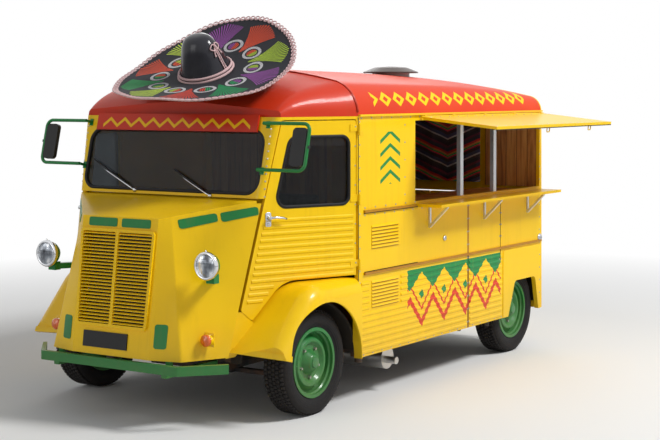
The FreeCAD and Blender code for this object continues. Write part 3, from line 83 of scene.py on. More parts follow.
class TruckColours(bpy.types.PropertyGroup):
    body: colour("Body", "Gloss paint of the body panels", (0.95, 0.6, 0.003))
    roof: colour("Roof", "Gloss paint of the roofs and the board", (0.66, 0.04, 0.008))
    trim: colour("Trim", "Gloss paint of wheels, bumpers and vents", (0.008, 0.19, 0.04))
    motif_red: colour("Motif red", "Painted bands on the lower panels", (0.7, 0.04, 0.01))
    motif_green: colour("Motif green", "Painted peaks, dots and chevrons", (0.006, 0.24, 0.06))
    rubber: colour("Rubber", "Tyres and window seals", (0.008, 0.008, 0.0095))
    rope: colour("Rope", "Edging of the hat", (0.92, 0.74, 0.73))
    velvet: colour("Velvet", "Ground of the hat", (0.012, 0.012, 0.016))


class TruckTrim(bpy.types.PropertyGroup):
    seal_width: length("Seal width", "Rubber round the windows", 0.02)
    seal_height: length("Seal height", "How far the rubber stands out", 0.006)
    tread_blocks: IntProperty(name="Tread blocks", description="Blocks round a tyre", default=72, min=12)
    brim_loops: IntProperty(name="Brim loops", description="Rope loops round the brim", default=92, min=12)
    screw_radius: length("Screw radius", "Heads of the panel screws", 0.0065)


class TruckStage(bpy.types.PropertyGroup):
    key: power("Key light", "Power of the large lamp on the left", 1080)
    fill: power("Fill light", "Power of the lamps ahead and behind", 90)
    floor: colour("Floor", "Plain pale floor", (0.8, 0.8, 0.79))


def colours():
    return bpy.context.scene.truck_colours


def trim():
    return bpy.context.scene.truck_trim


def mixed(a, b, share):
    return tuple(x + (y - x) * share for x, y in zip(a, b))


def faded_body():
    """Body paint after years in the sun."""
    return mixed(colours().body, (0.9, 0.42, 0.01), 0.35)


# Node trees


class Link:
    """A node's output whose arithmetic adds Math nodes."""

    def __init__(self, graph, socket):
        self.graph = graph
        self.socket = socket

    def math(self, operation, *others):
        return self.graph.calculate(operation, self, *others)

    def __add__(self, other):
        return self.math("ADD", other)

    __radd__ = __add__

    def __sub__(self, other):
        return self.math("SUBTRACT", other)

    def __rsub__(self, other):
        return self.graph.calculate("SUBTRACT", other, self)

    def __mul__(self, other):
        return self.math("MULTIPLY", other)

    def __truediv__(self, other):
        return self.math("DIVIDE", other)

    def __abs__(self):
        return self.math("ABSOLUTE")

    def __lt__(self, other):
        return self.math("LESS_THAN", other)

    def __gt__(self, other):
        return self.math("GREATER_THAN", other)

    def fraction(self):
        return self.math("FRACT")

    def zigzag(self, period=1.0):
        """Triangle wave from 0 to 1 over each period."""
        return abs((self / period).fraction() - 0.5) * 2

    def between(self, low, high):
        return (self > low) * (self < high)

    def clamped(self):
        return self.graph.calculate("ADD", self, 0.0, use_clamp=True)


def distance(a, b):
    """How far the point (a, b) lies from the middle."""
    return (a * a + b * b).math("SQRT")


class Graph:
    """A node tree; one method adds any node and joins its inputs."""

    def __init__(self, tree):
        self.tree = tree

    def add(self, kind, settings=(), inputs=(), output=0):
        """A kind without the word Node is a shader node."""
        node = self.tree.nodes.new(kind if "Node" in kind else "ShaderNode" + kind)
        for name, value in dict(settings).items():
            setattr(node, name, value)
        for name, value in dict(inputs).items():
            socket = node.inputs[name]
            if isinstance(value, Link):
                self.tree.links.new(value.socket, socket)
            else:
                socket.default_value = (*value[:3], 1) if socket.type == "RGBA" else value
        return Link(self, node.outputs[output] if node.outputs else None)

    def calculate(self, operation, *values, **settings):
        return self.add("Math", {"operation": operation, **settings}, dict(enumerate(values)))


class Shade(Graph):
    """A material's node tree with the nodes that most materials share."""

    def __init__(self, name):
        self.material = bpy.data.materials.new(name)
        self.material.use_nodes = True
        super().__init__(self.material.node_tree)
        self.tree.nodes.clear()
        self.where = self.add("TexCoord", output="Object")

    def split(self, vector=None):
        """The three numbers of a vector, or of the place on the object."""
        node = self.add("SeparateXYZ", inputs={0: vector or self.where}).socket.node
        return [Link(self, output) for output in node.outputs]

    def split_uv(self):
        return self.split(self.add("UVMap", {"uv_map": "UVMap"}))[:2]

    def mix(self, factor, first, second):
        """Colour between first and second."""
        return self.add("Mix", {"data_type": "RGBA"}, {0: factor, 6: first, 7: second}, 2)

    def noise(self, scale, detail=3, rough=0.5, where=None):
        return self.add("TexNoise", inputs={
            "Vector": where or self.where, "Scale": scale, "Detail": detail, "Roughness": rough})

    def streaks(self, scale, detail=3, rough=0.5):
        """Noise with a scale of its own along each axis."""
        return self.noise(1.0, detail, rough, self.add("Mapping", inputs={0: self.where, 3: scale}))

    def ramp(self, value, *stops, stepped=False):
        """Tones at their places between 0 and 1, blended or stepped."""
        tones = self.add("ValToRGB", inputs={0: value})
        ramp = tones.socket.node.color_ramp
        ramp.interpolation = "CONSTANT" if stepped else "LINEAR"
        while len(ramp.elements) < len(stops):
            ramp.elements.new(0.5)
        for element, (place, tone) in zip(ramp.elements, stops):
            element.position = place
            element.color = (*tone, 1)
        return tones

    def finish(self, bump, **inputs):
        """Close the tree with a Principled shader over a bump of (height, strength, distance)."""
        inputs["normal"] = self.add("Bump", inputs=dict(zip(("Height", "Strength", "Distance"), bump)))
        named = {key.replace("_", " ").title().replace("Ior", "IOR"): value for key, value in inputs.items()}
        self.close(self.add("BsdfPrincipled", inputs=named))
        return self.material

    def close(self, shader):
        self.add("OutputMaterial", inputs={"Surface": shader})


class Growth(Graph):
    """A geometry node tree with named inputs."""

    def __init__(self, name, **inputs):
        super().__init__(bpy.data.node_groups.new(name, "GeometryNodeTree"))
        self.add_socket("Geometry", "INPUT", "Geometry")
        for label, kind in inputs.items():
            self.add_socket(label.capitalize(), "INPUT", kind)
        self.add_socket("Geometry", "OUTPUT", "Geometry")
        self.source = self.tree.nodes.new("NodeGroupInput")
        self.end = self.tree.nodes.new("NodeGroupOutput")

    def add_socket(self, label, way, kind):
        self.tree.interface.new_socket(name=label, in_out=way, socket_type="NodeSocket" + kind)

    def given(self, label):
        return Link(self, self.source.outputs[label.capitalize()])

    def stored_facing(self):
        return self.add("GeometryNodeInputNamedAttribute", {"data_type": "FLOAT_VECTOR"}, {"Name": "facing"})

    def aligned(self, axis, vector, start=None, pivot="AUTO"):
        """Rotation that turns an axis to a vector."""
        inputs = {"Vector": vector} if start is None else {"Rotation": start, "Vector": vector}
        return self.add("FunctionNodeAlignRotationToVector", {"axis": axis, "pivot_axis": pivot}, inputs)

    def repeated(self, points, part, rotation):
        return self.add("GeometryNodeInstanceOnPoints", inputs={
            "Points": points, "Instance": part, "Rotation": rotation})

    def close(self, instances, material):
        real = self.add("GeometryNodeRealizeInstances", inputs={0: instances})
        done = self.add("GeometryNodeSetMaterial", inputs={"Geometry": real, "Material": material})
        self.tree.links.new(done.socket, self.end.inputs[0])

    def grow(self, mesh, **values):
        """Run the tree on a mesh and give back what it makes as a plain mesh."""
        holder = bpy.data.objects.new(self.tree.name, mesh)
        bpy.context.scene.collection.objects.link(holder)
        modifier = holder.modifiers.new("growth", "NODES")
        modifier.node_group = self.tree
        sockets = {i.name: i.identifier for i in self.tree.interface.items_tree if i.in_out == "INPUT"}
        for label, value in values.items():
            modifier[sockets[label.capitalize()]] = value
        grown = applied(holder)
        bpy.data.objects.remove(holder)
        return grown


def store_facing(mesh, facings):
    """Give each point of a mesh its own direction, for a geometry node tree to read."""
    data = mesh.attributes.new("facing", "FLOAT_VECTOR", "POINT")
    data.data.foreach_set("vector", [v for facing in facings for v in facing])


def applied(piece):
    """The piece's mesh with its modifiers applied."""
    graph = bpy.context.evaluated_depsgraph_get()
    return bpy.data.meshes.new_from_object(piece.evaluated_get(graph))


# Materials


def paint(name, tone, old, motif=None, coat=0.22, rough=0.36):
    """Gloss paint: slow drift of tone, streaks of grime, road dust low down and fine chips."""
    shade = Shade(name)
    z = shade.split()[2]
    drift = shade.noise(1.7)
    base = shade.mix((drift - 0.35) * 1.1, tone, old)
    if motif:
        base = motif(shade, base)
    streak = shade.streaks((24, 24, 1.5), 4, 0.6)
    grime = ((streak - 0.5) * (shade.noise(2.6, 5, 0.6) - 0.4) * 9).clamped()
    base = shade.mix(grime * 0.5, base, mixed(tone, (0.3, 0.12, 0.01), 0.5))
    cloud = shade.noise(5.5, 5, 0.65)
    dust = (cloud * ((0.62 - z) * 2.4).clamped() * 0.55).clamped()
    base = shade.mix(dust * 0.85, base, (0.24, 0.17, 0.09))
    speck = shade.noise(95, 4, 0.7)
    chips = (speck > 0.715) * (cloud > 0.52)
    base = shade.mix(chips * 0.75, base, (0.13, 0.09, 0.06))
    gloss = drift * 0.12 + speck * 0.1 + dust * 0.4 + (rough - 0.11)
    height = shade.noise(240, 2) * 0.035 + shade.noise(3.2, 2) * 0.9 - chips * 0.25
    return shade.finish(
        (height, 0.22, 0.004), base_color=base, roughness=gloss, coat_weight=coat, coat_roughness=0.12,
        specular_ior_level=0.16,
    )


def lower_motif(shade, base):
    """Painted shadow under the louvres and along a seam, zigzag bands in red, green peaks over them and green
    dots.
    """
    x, y, z = shade.split()
    red, green = colours().motif_red, colours().motif_green
    left = y > LEFT_FACE
    for foot, top in ((0.5955, 0.76), (0.9745, 1.12)):
        # Painted shadow: a dark brown band under each louvre
        louvre_shadows = (((z - foot) / 0.022).fraction() < 0.3) * z.between(foot, top) * x.between(0.446, 0.763)
        base = shade.mix(louvre_shadows * left * 0.8, base, (0.3, 0.09, 0.004))
    # Painted shadow: a dark brown band along the seam between the lower panels
    seam = (abs(x + 0.494) < 0.013) * left
    base = shade.mix(seam * 0.75, base, (0.3, 0.07, 0.006))
    sweep = x.between(-0.98, 0.33) * left
    wobble = shade.noise(14, 2) * 0.01
    period = 0.3
    level = z - x.zigzag(period) * 0.17 + wobble
    for middle, half in ((0.425, 0.026), (0.52, 0.012)):
        base = shade.mix((abs(level - middle) < half) * sweep, base, red)
    over = z + x.zigzag(period) * 0.12 + wobble
    base = shade.mix((over > 0.772) * (z < 0.79) * sweep, base, green)
    dots = abs((x / period).fraction() - 0.5) * period + abs(z - 0.62 + wobble)
    return shade.mix((dots < 0.034) * sweep, base, green)


def upper_motif(shade, base):
    """Short stack of green chevrons ahead of the serving opening."""
    x, y, z = shade.split()
    sweep = x.between(0.42, 0.66) * z.between(1.38, 1.72) * (y > LEFT_FACE)
    level = (z + abs(x - 0.54) * 0.55).zigzag(0.086)
    return shade.mix((level > 0.7) * sweep, base, colours().motif_green)


def rail_shade(shade, base):
    """Painted brown shade on the rails below the roof gutter, patchy."""
    # Painted shade: darker brown between 0.7 m and 1.3 m high
    rail_shadow = shade.split()[2].between(0.7, 1.3) * (0.7 + shade.noise(6) * 0.3)
    return shade.mix(rail_shadow, base, (0.34, 0.12, 0.008))


def roof_motif(shade, base):
    """Row of yellow diamonds along the left edge of the roof."""
    x, y, z = shade.split()
    sweep = x.between(-1.42, 0.72) * (y > 0.5)
    period = 0.16
    reach = abs((x / period).fraction() - 0.5) * period + abs(z - 1.93) * 1.5
    shape = (reach < 0.072) * (1 - (reach < 0.03))
    return shade.mix(shape * sweep, base, colours().body)


def board_motif(shade, base):
    """Yellow zigzag line on the board."""
    _, y, z = shade.split()
    board_z = 1.783
    line = abs(z - board_z + y.zigzag(0.12) * 0.045 - 0.022) < 0.011
    return shade.mix(line * (abs(y) < 0.6), base, mixed(colours().body, colours().roof, 0.15))


def rubber(name, tone, rough, rings=False):
    """Dull rubber; a tyre has moulded rings and a dusty shoulder as well."""
    shade = Shade(name)
    grain = shade.noise(60, 4)
    base = shade.mix(grain, tone, mixed(tone, DIRT, 0.2))
    height = grain * 0.3
    if rings:
        x, _, z = shade.split()
        radius = distance(abs(x) - AXLE_X, z - HUB_Z)
        height = height + radius.zigzag(0.0125) * radius.between(0.232, 0.292) * 1.2
        dusty = ((radius - 0.24) * 8).clamped()
        base = shade.mix(dusty * grain * 0.3, base, (0.09, 0.07, 0.055))
    return shade.finish(
        (height, 0.5, 0.0015), base_color=base, roughness=grain * 0.2 + (rough - 0.1),
        specular_ior_level=0.15,
    )


def metal(name, tone, rough, scratch=0.12):
    """Bare metal with drawn scratches and darker grime."""
    shade = Shade(name)
    brushed = shade.streaks((12, 12, 420))
    grime = shade.noise(22, 5, 0.65)
    base = shade.mix((grime - 0.5) * 1.2, tone, mixed(tone, (0.06, 0.045, 0.03), 0.5))
    return shade.finish(
        (brushed, 0.12, 0.0006), base_color=base, metallic=1.0,
        roughness=brushed * scratch + grime * 0.12 + (rough - 0.1),
    )


def cast(name, tone):
    """Rough casting or undercoat with rust and road dirt."""
    shade = Shade(name)
    patch = shade.noise(7, 5, 0.6)
    rust = mixed(tone, (0.16, 0.075, 0.03), 0.55)
    base = shade.ramp(patch, (0.42, tone), (0.62, rust), (0.8, (0.15, 0.1, 0.06)))
    return shade.finish(
        (shade.noise(130, 5, 0.7) + patch, 0.5, 0.0015), base_color=base, metallic=0.15,
        roughness=patch * 0.3 + 0.5,
    )


def arch_coat(name):
    """Black undercoat round the wheels, body paint ahead of them."""
    shade = Shade(name)
    x, _, z = shade.split()
    dirt = shade.noise(6, 4)
    coat = shade.mix(dirt, (0.012, 0.012, 0.012), (0.05, 0.04, 0.03))
    yellow = shade.mix(dirt * 0.5, colours().body, (0.5, 0.3, 0.03))
    return shade.finish(
        (shade.noise(90, 5, 0.7), 0.4, 0.001), base_color=shade.mix((x > 1.5) * (z > 0.43), coat, yellow),
        roughness=dirt * 0.2 + 0.6, specular_ior_level=0.15,
    )


def window_glass(name):
    shade = Shade(name)
    smear = shade.streaks((3, 3, 9), 4)
    return shade.finish(
        (smear, 0.02, 0.001), base_color=shade.mix(smear, (0.27, 0.31, 0.33), (0.2, 0.22, 0.24)),
        roughness=smear * 0.03, transmission_weight=0.96, ior=1.25, specular_ior_level=0.12,
    )


def wood(name):
    """Varnished planks that stand upright, with grain and dark joints."""
    shade = Shade(name)
    x, y, z = shade.split()
    plank = (x + y) / 0.092
    offset = plank.math("FLOOR") * 3.71
    along = shade.add("CombineXYZ", inputs={0: (x + y) * 34 + offset, 1: offset, 2: z * 2.2})
    grain = shade.noise(1.6, 6, 0.62, along)
    base = shade.ramp(
        grain + (offset.fraction() - 0.5) * 0.22,
        (0.3, (0.32, 0.12, 0.03)), (0.5, (0.62, 0.29, 0.08)), (0.72, (0.78, 0.44, 0.15)),
    )
    joint = abs(plank.fraction() - 0.5) > 0.478
    return shade.finish(
        (grain * 0.4 - joint, 0.35, 0.0015), base_color=shade.mix(joint, base, (0.04, 0.018, 0.008)),
        roughness=grain * 0.2 + 0.3, coat_weight=0.3, coat_roughness=0.2,
    )


def plastic(name, tone, rough):
    shade = Shade(name)
    grain = shade.noise(320)
    return shade.finish(
        (grain, 0.15, 0.0006), base_color=shade.mix(shade.noise(9), tone, mixed(tone, DIRT, 0.12)),
        roughness=grain * 0.12 + (rough - 0.06), specular_ior_level=0.2,
    )


def signal_lens(name):
    """Amber lenses ahead on painted plates, red lenses at the tail."""
    shade = Shade(name)
    x = shade.split()[0]
    grain = shade.noise(40)
    base = shade.mix(grain, (0.85, 0.17, 0.01), (0.7, 0.1, 0.008))
    base = shade.mix(x.between(0, 1.9245), base, colours().body)
    base = shade.mix(x < 0, base, (0.5, 0.012, 0.01))
    return shade.finish(
        (grain, 0.1, 0.0005), base_color=base, roughness=grain * 0.1 + 0.16, coat_weight=0.6
    )


def vent_plastic(name):
    """Dark domed cap on a pale foot."""
    shade = Shade(name)
    grain = shade.noise(26, 4)
    cap = shade.mix(grain, (0.035, 0.018, 0.014), (0.07, 0.045, 0.035))
    foot = shade.mix(grain, (0.72, 0.72, 0.7), (0.5, 0.48, 0.44))
    return shade.finish(
        (grain, 0.2, 0.001), base_color=shade.mix(shade.split()[2] < 2.1155, cap, foot),
        roughness=grain * 0.2 + 0.3,
    )


def lamp_glass(name):
    """Fluted lens with a painted reflection of the bright bowl behind it."""
    shade = Shade(name)
    _, y, z = shade.split()
    bowl_reflection = shade.streaks((4, 16, 9))
    # Painted reflection: streaks from dark to bright grey stand for the chrome bowl
    base = shade.ramp(
        bowl_reflection, (0.34, (0.06, 0.065, 0.08)), (0.48, (0.3, 0.33, 0.37)), (0.62, (0.85, 0.87, 0.9))
    )
    return shade.finish(
        (y.zigzag(0.0115) + z.zigzag(0.034) * 0.4, 0.8, 0.002), base_color=base, metallic=0.82,
        roughness=bowl_reflection * 0.08 + 0.06, coat_weight=0.5, coat_roughness=0.03,
    )


def leather(name, tone):
    shade = Shade(name)
    cells = shade.add("TexVoronoi", {"feature": "DISTANCE_TO_EDGE"}, {"Vector": shade.where, "Scale": 210})
    patch = shade.noise(6, 4)
    return shade.finish(
        (cells.math("MINIMUM", 0.12) * 6, 0.4, 0.0012),
        base_color=shade.mix(patch, tone, mixed(tone, (0.3, 0.18, 0.1), 0.35)),
        roughness=patch * 0.25 + 0.35,
    )


# Shapes


def turns(count):
    """Angles that divide a full turn."""
    return [2 * math.pi * k / count for k in range(count)]


def spoke(angle, radius, height=0.0):
    """Place at an angle and a radius about the Z axis."""
    return Vector((radius * math.cos(angle), radius * math.sin(angle), height))


def span(start, stop, gap):
    """Numbers from start to stop, about a gap apart."""
    count = max(1, round((stop - start) / gap))
    return [start + (stop - start) * k / count for k in range(count + 1)]


def rectangle(left, right, foot, head, radius):
    """Closed outline whose corners are (x, y, radius)."""
    return [(left, foot, radius), (right, foot, radius), (right, head, radius), (left, head, radius)]


def rounded(corners, steps=8):
    """Points of a closed outline whose corners (x, y, radius) are rounded."""
    points = []
    for i, (x, y, radius) in enumerate(corners):
        here = Vector((x, y))
        before = (Vector(corners[i - 1][:2]) - here).normalized()
        after = (Vector(corners[(i + 1) % len(corners)][:2]) - here).normalized()
        half = before.angle(after) / 2
        reach = radius / math.tan(half)
        middle = here + (before + after).normalized() * (radius / math.sin(half))
        start, stop = here + before * reach, here + after * reach
        for k in range(steps + 1):
            spot = start.lerp(stop, k / steps)
            points.append(middle + (spot - middle).normalized() * radius)
    return points


def spaced(points, gap):
    """The same closed outline with its long runs divided."""
    result = []
    for i, p in enumerate(points):
        after = points[(i + 1) % len(points)]
        pieces = max(1, round((after - p).length / gap))
        result += [p.lerp(after, k / pieces) for k in range(pieces)]
    return result


def link(name, mesh, material, body, smooth=True):
    """Finish a mesh as a piece that rides on a body."""
    mesh.materials.clear()
    mesh.materials.append(material)
    mesh.polygons.foreach_set("use_smooth", [smooth] * len(mesh.polygons))
    piece = bpy.data.objects.new(name, mesh)
    bpy.context.scene.collection.objects.link(piece)
    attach(piece, body)
    return piece


class Form:
    """Corners, faces and UVs that are gathered into one mesh."""

    def __init__(self):
        self.corners, self.faces, self.uvs = [], [], []

    def grid(self, rows, closed_rows=False, closed_columns=False):
        """Faces between rows of places; gives back the number of the first corner."""
        start = len(self.corners)
        high, wide = len(rows), len(rows[0])
        self.corners += [Vector(place) for row in rows for place in row]
        for i in range(high if closed_rows else high - 1):
            for j in range(wide if closed_columns else wide - 1):
                ring = [(i, j), (i, j + 1), (i + 1, j + 1), (i + 1, j)]
                self.faces.append([start + (a % high) * wide + b % wide for a, b in ring])
                self.uvs.append([(b / wide, a / max(high - 1, 1)) for a, b in ring])
        return start

    def cap(self, ring, flip=False):
        face = list(reversed(ring)) if flip else list(ring)
        self.faces.append(face)
        self.uvs.append([(0.5, 0.5)] * len(face))

    def sweep(self, path, profile, sides, outs, closed=True):
        """Carry a profile of (across, out) along a path with its own directions."""
        rows = [[p + side * a + out * b for a, b in profile] for p, side, out in zip(path, sides, outs)]
        start = self.grid(rows, closed_rows=closed, closed_columns=True)
        if not closed:
            wide = len(profile)
            self.cap(range(start, start + wide))
            self.cap(range(start + (len(rows) - 1) * wide, start + len(rows) * wide), flip=True)

    def tube(self, path, radius, around=8, closed=False):
        """Round bar along a path; radius is a number or one for each point."""
        path = [Vector(p) for p in path]
        count = len(path)
        radii = radius if hasattr(radius, "__len__") else [radius] * count
        out, rows = None, []
        for i, p in enumerate(path):
            before = path[i - 1] if closed or i else p
            after = path[(i + 1) % count] if closed or i < count - 1 else p
            ahead = (after - before).normalized()
            if out is None:
                out = ahead.orthogonal().normalized()
            out = (out - ahead * out.dot(ahead)).normalized()
            side = ahead.cross(out)
            rows.append([p + (out * math.cos(t) + side * math.sin(t)) * radii[i] for t in turns(around)])
        start = self.grid(rows, closed_rows=closed, closed_columns=True)
        if not closed:
            self.cap(range(start, start + around), flip=True)
            self.cap(range(start + (count - 1) * around, start + count * around))

    def lathe(self, profile, matrix, steps, closed=False):
        """Turn a profile of (radius, height) about the matrix's Z axis."""
        rows = [[matrix @ spoke(t, radius, height) for t in turns(steps)] for radius, height in profile]
        self.grid(rows, closed_rows=closed, closed_columns=True)

    def beam(self, start, stop, out, width, height, ease=0.25):
        """Bar with eased edges that stands on a surface, from start to stop."""
        start, stop, out = Vector(start), Vector(stop), Vector(out).normalized()
        side = (stop - start).cross(out).normalized()
        w, e = width / 2, min(width, height) * ease
        profile = [(-w, 0), (-w, height - e), (e - w, height), (w - e, height), (w, height - e), (w, 0)]
        self.sweep([start, stop], profile, [side] * 2, [out] * 2, closed=False)

    def plate(self, plane, outline, low, high, ease=0.002):
        """Flat plate with an eased rim, cut to a closed outline on a plane."""
        flat = spaced(rounded(outline), 0.05)
        middle = sum(flat, Vector((0, 0))) / len(flat)
        rows = [[plane.at(p.x, p.y, out) for p in flat] for out in (low, high - ease)]
        inner = [p + (middle - p).normalized() * ease for p in flat]
        rows.append([plane.at(p.x, p.y, high) for p in inner])
        start, count = self.grid(rows, closed_columns=True), len(flat)
        self.cap(range(start, start + count), flip=True)
        self.cap(range(start + 2 * count, start + 3 * count))

    def mesh(self, name, weld=1e-6):
        data = bpy.data.meshes.new(name)
        data.from_pydata(self.corners, [], self.faces)
        layer = data.uv_layers.new(name="UVMap")
        layer.data.foreach_set("uv", [v for face in self.uvs for spot in face for v in spot])
        work = bmesh.new()
        work.from_mesh(data)
        bmesh.ops.remove_doubles(work, verts=work.verts, dist=weld)
        bmesh.ops.dissolve_degenerate(work, edges=work.edges, dist=1e-7)
        bmesh.ops.recalc_face_normals(work, faces=work.faces)
        work.to_mesh(data)
        work.free()
        return data

    def piece(self, name, material, body, slot, smooth=True, weld=1e-6):
        return link(name, self.mesh(name, weld), material, body, smooth)


class Plane:
    """A flat face of the van: a foot and its across, up and out directions."""

    def __init__(self, foot, across, up=(0, 0, 1)):
        self.foot, self.across, self.up = Vector(foot), Vector(across).normalized(), Vector(up).normalized()
        self.out = self.across.cross(self.up)

    def at(self, x, y, out=0.0):
        return self.foot + self.across * x + self.up * y + self.out * out

    def matrix(self, x, y, out=0.0):
        """Frame whose Z axis is the plane's outward direction."""
        turn = Matrix((self.across, self.up, self.out)).transposed().to_4x4()
        return Matrix.Translation(self.at(x, y, out)) @ turn


LEAN_SIN, LEAN_COS = math.sin(SCREEN_LEAN), math.cos(SCREEN_LEAN)
TURN_SIN, TURN_COS = math.sin(DOOR_TURN), math.cos(DOOR_TURN)
SCREEN = Plane(SCREEN_FOOT, (0, 1, 0), (-LEAN_SIN, 0, LEAN_COS))
LEFT_DOOR = Plane(DOOR_FOOT, (-TURN_COS, TURN_SIN, 0))
RIGHT_DOOR = Plane((DOOR_FOOT.x, -DOOR_FOOT.y, 0), (TURN_COS, TURN_SIN, 0))
DOORS = ((LEFT_DOOR, -1, "left"), (RIGHT_DOOR, 1, "right"))
WHEEL_NAMES = [f"{end}_{side}" for end in ("front", "rear") for side in ("left", "right")]


def wheels():
    """Name, side and place of each wheel; the place's Z axis points outward along the axle."""
    for name in WHEEL_NAMES:
        x = AXLE_X if "front" in name else -AXLE_X
        sign = 1 if "left" in name else -1
        turned = Matrix.Rotation(-sign * math.pi / 2, 4, "X")
        yield name, sign, Matrix.Translation((x, sign * WHEEL_Y, HUB_Z)) @ turned


def facing(place, ahead):
    """Frame at a place whose Z axis points ahead."""
    return Matrix.Translation(place) @ Vector(ahead).to_track_quat("Z", "Y").to_matrix().to_4x4()


def seal(form, plane, outline):
    """Rubber section round an opening, half on the panel and half in the opening."""
    flat = spaced(rounded(outline), 0.03)
    count = len(flat)
    path = [plane.at(p.x, p.y) for p in flat]
    sides = [(path[(i + 1) % count] - path[i - 1]).normalized().cross(plane.out) for i in range(count)]
    middle = sum(path, Vector()) / count
    if sides[0].dot(path[0] - middle) < 0:
        sides = [-side for side in sides]
    w, h = trim().seal_width, trim().seal_height
    profile = [(-0.3 * w, -0.016), (-0.3 * w, 0.1 * h), (-0.1 * w, 0.8 * h), (0.25 * w, h),
               (0.55 * w, 0.75 * h), (0.7 * w, 0.0), (0.7 * w, -0.001), (0, -0.001), (0, -0.016)]
    form.sweep(path, profile, sides, [plane.out] * count)


def surface(*names):
    """Faces of carried-over pieces as one tree for rays."""
    corners, faces = [], []
    for name in names:
        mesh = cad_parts[name].data
        start = len(corners)
        corners += [v.co.copy() for v in mesh.vertices]
        faces += [[start + i for i in face.vertices] for face in mesh.polygons]
    return BVHTree.FromPolygons(corners, faces)


def landed(tree, starts, direction):
    """Places and facings where rays from the starts meet a surface."""
    direction = Vector(direction)
    spots = []
    for start in starts:
        place, normal, _, _ = tree.ray_cast(Vector(start), direction)
        if place is not None:
            spots.append((place, -normal if normal.dot(direction) > 0 else normal))
    return spots


def studs(name, spots, radius, height, sides, material, body):
    """Small steel heads on a surface, grown on a cloud of points."""
    grown = Growth(name, radius="Float", height="Float", sides="Int")
    head = grown.add("GeometryNodeMeshCone", inputs={
        "Vertices": grown.given("sides"), "Radius Top": grown.given("radius") * 0.62,
        "Radius Bottom": grown.given("radius"), "Depth": grown.given("height")})
    made = grown.repeated(grown.given("Geometry"), head, grown.aligned("Z", grown.stored_facing()))
    grown.close(made, material)
    cloud = bpy.data.meshes.new(name)
    cloud.from_pydata([tuple(place) for place, _ in spots], [], [])
    store_facing(cloud, [normal for _, normal in spots])
    heads = grown.grow(cloud, radius=radius, height=height, sides=sides)
    link(name, heads, material, body, smooth=False)


# Finishes of the carried-over pieces


class TRUCK_OT_paint(bpy.types.Operator):
    """Give every carried-over piece its finish, also those that a dressed piece replaces"""

    bl_idname = "truck.paint"
    bl_label = "Paint the body"

    def execute(self, context):
        c = colours()
        old, deep = faded_body(), (0.4, 0.01, 0.01)
        faded_roof = mixed(c.roof, (0.85, 0.12, 0.02), 0.6)
        faded_trim = mixed(c.trim, (0.03, 0.3, 0.08), 0.5)
        rims, tyres = (" ".join(f"{kind}_{name}" for name in WHEEL_NAMES) for kind in ("rim", "tyre"))
        finishes = (
            ("nose_shell grille cab_frame door_hinges bulkhead wing_left wing_right rear_frame counter_shelf "
             "awning_flap cab_door_left cab_door_right sliding_door rear_door_left rear_door_right "
             "rear_hatch bonnet side_right", paint("body_paint", c.body, old)),
            ("side_front_left side_rear_left", paint("lower_panel_paint", c.body, old, lower_motif)),
            ("side_upper_left", paint("upper_panel_paint", c.body, old, upper_motif)),
            ("body_rails", paint("rail_paint", c.body, old, rail_shade)),
            # The cap's red is darker than the main roof's: painted shade
            ("cab_roof", paint("cap_paint", mixed(c.roof, deep, 0.2), c.roof, coat=0.2, rough=0.45)),
            ("main_roof", paint("roof_paint", c.roof, faded_roof, roof_motif, coat=0.12, rough=0.52)),
            ("banner_board", paint("board_paint", mixed(c.roof, deep, 0.35), c.roof, board_motif)),
            ("bumpers mirrors headlamps vent_slots " + rims,
             paint("trim_paint", c.trim, faded_trim, coat=0.3, rough=0.3)),
            ("wheelhouses", arch_coat("arch_coat")),
            ("underframe jack_sockets front_axle rear_axle engine_block knuckle_left knuckle_right",
             cast("chassis_coat", (0.02, 0.02, 0.021))),
            ("exhaust curtain_rod", metal("worn_steel", (0.55, 0.54, 0.52), 0.32)),
            ("posts_and_brackets", metal("satin_aluminium", (0.68, 0.69, 0.7), 0.36)),
            ("windscreen cab_glass_left cab_glass_right", window_glass("tinted_glass")),
            ("service_counter wood_lining", wood("varnished_wood")),
            ("signal_lamps", signal_lens("signal_lenses")),
            ("roof_vent", vent_plastic("vent_plastic")),
            ("steering_wheel black_trim", plastic("black_plastic", (0.02, 0.02, 0.021), 0.42)),
            ("cab_seats", leather("seat_leather", (0.035, 0.02, 0.014))),
            (tyres, rubber("tyre_rubber", c.rubber, 0.7, rings=True)),
            ("serape_cloth", plastic("plain_cloth", (0.3, 0.05, 0.05), 0.8)),
            ("sombrero", plastic("plain_felt", c.velvet, 0.8)),
        )
        for names, material in finishes:
            for name in names.split():
                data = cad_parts[name].data
                data.materials.clear()
                data.materials.append(material)
                for face in data.polygons:
                    face.material_index = 0
        return {"FINISHED"}


# Hat

HAT_LEAN = Matrix.Rotation(math.radians(27.25), 4, Vector((-0.129, 0.992, 0)))
HAT = Matrix.Translation((1.3, 0.1, 2.09)) @ HAT_LEAN
BRIM_IN, BRIM_OUT, BRIM_LIFT, BRIM_THICK = 0.168, 0.572, 0.112, 0.01
# Radius and height of the crown's steps, from the brim up
CROWN = ((0.175, 0.006), (0.168, 0.02), (0.157, 0.05), (0.142, 0.1), (0.13, 0.145), (0.12, 0.18),
         (0.108, 0.215), (0.092, 0.243), (0.072, 0.26), (0.045, 0.269), (0.02, 0.272), (0.0, 0.272))
# Colours of the ten thread fans
THREADS = ((0.72, 0.06, 0.03), (0.01, 0.32, 0.1), (0.3, 0.08, 0.34), (0.45, 0.62, 0.05), (0.82, 0.09, 0.03),
           (0.3, 0.08, 0.34), (0.55, 0.7, 0.08), (0.8, 0.1, 0.04), (0.02, 0.36, 0.09), (0.5, 0.66, 0.06))


def brim_at(angle, share, lift=0.0):
    """A place on the brim's upper face, from the crown (0) to the edge (1)."""
    radius = BRIM_IN + (BRIM_OUT - BRIM_IN) * share
    trough = BRIM_LIFT * (radius * math.cos(angle) / BRIM_OUT) ** 2
    wave = 0.0035 * math.sin(9 * angle) * share ** 2
    return HAT @ spoke(angle, radius, 0.011 + trough + wave + lift)


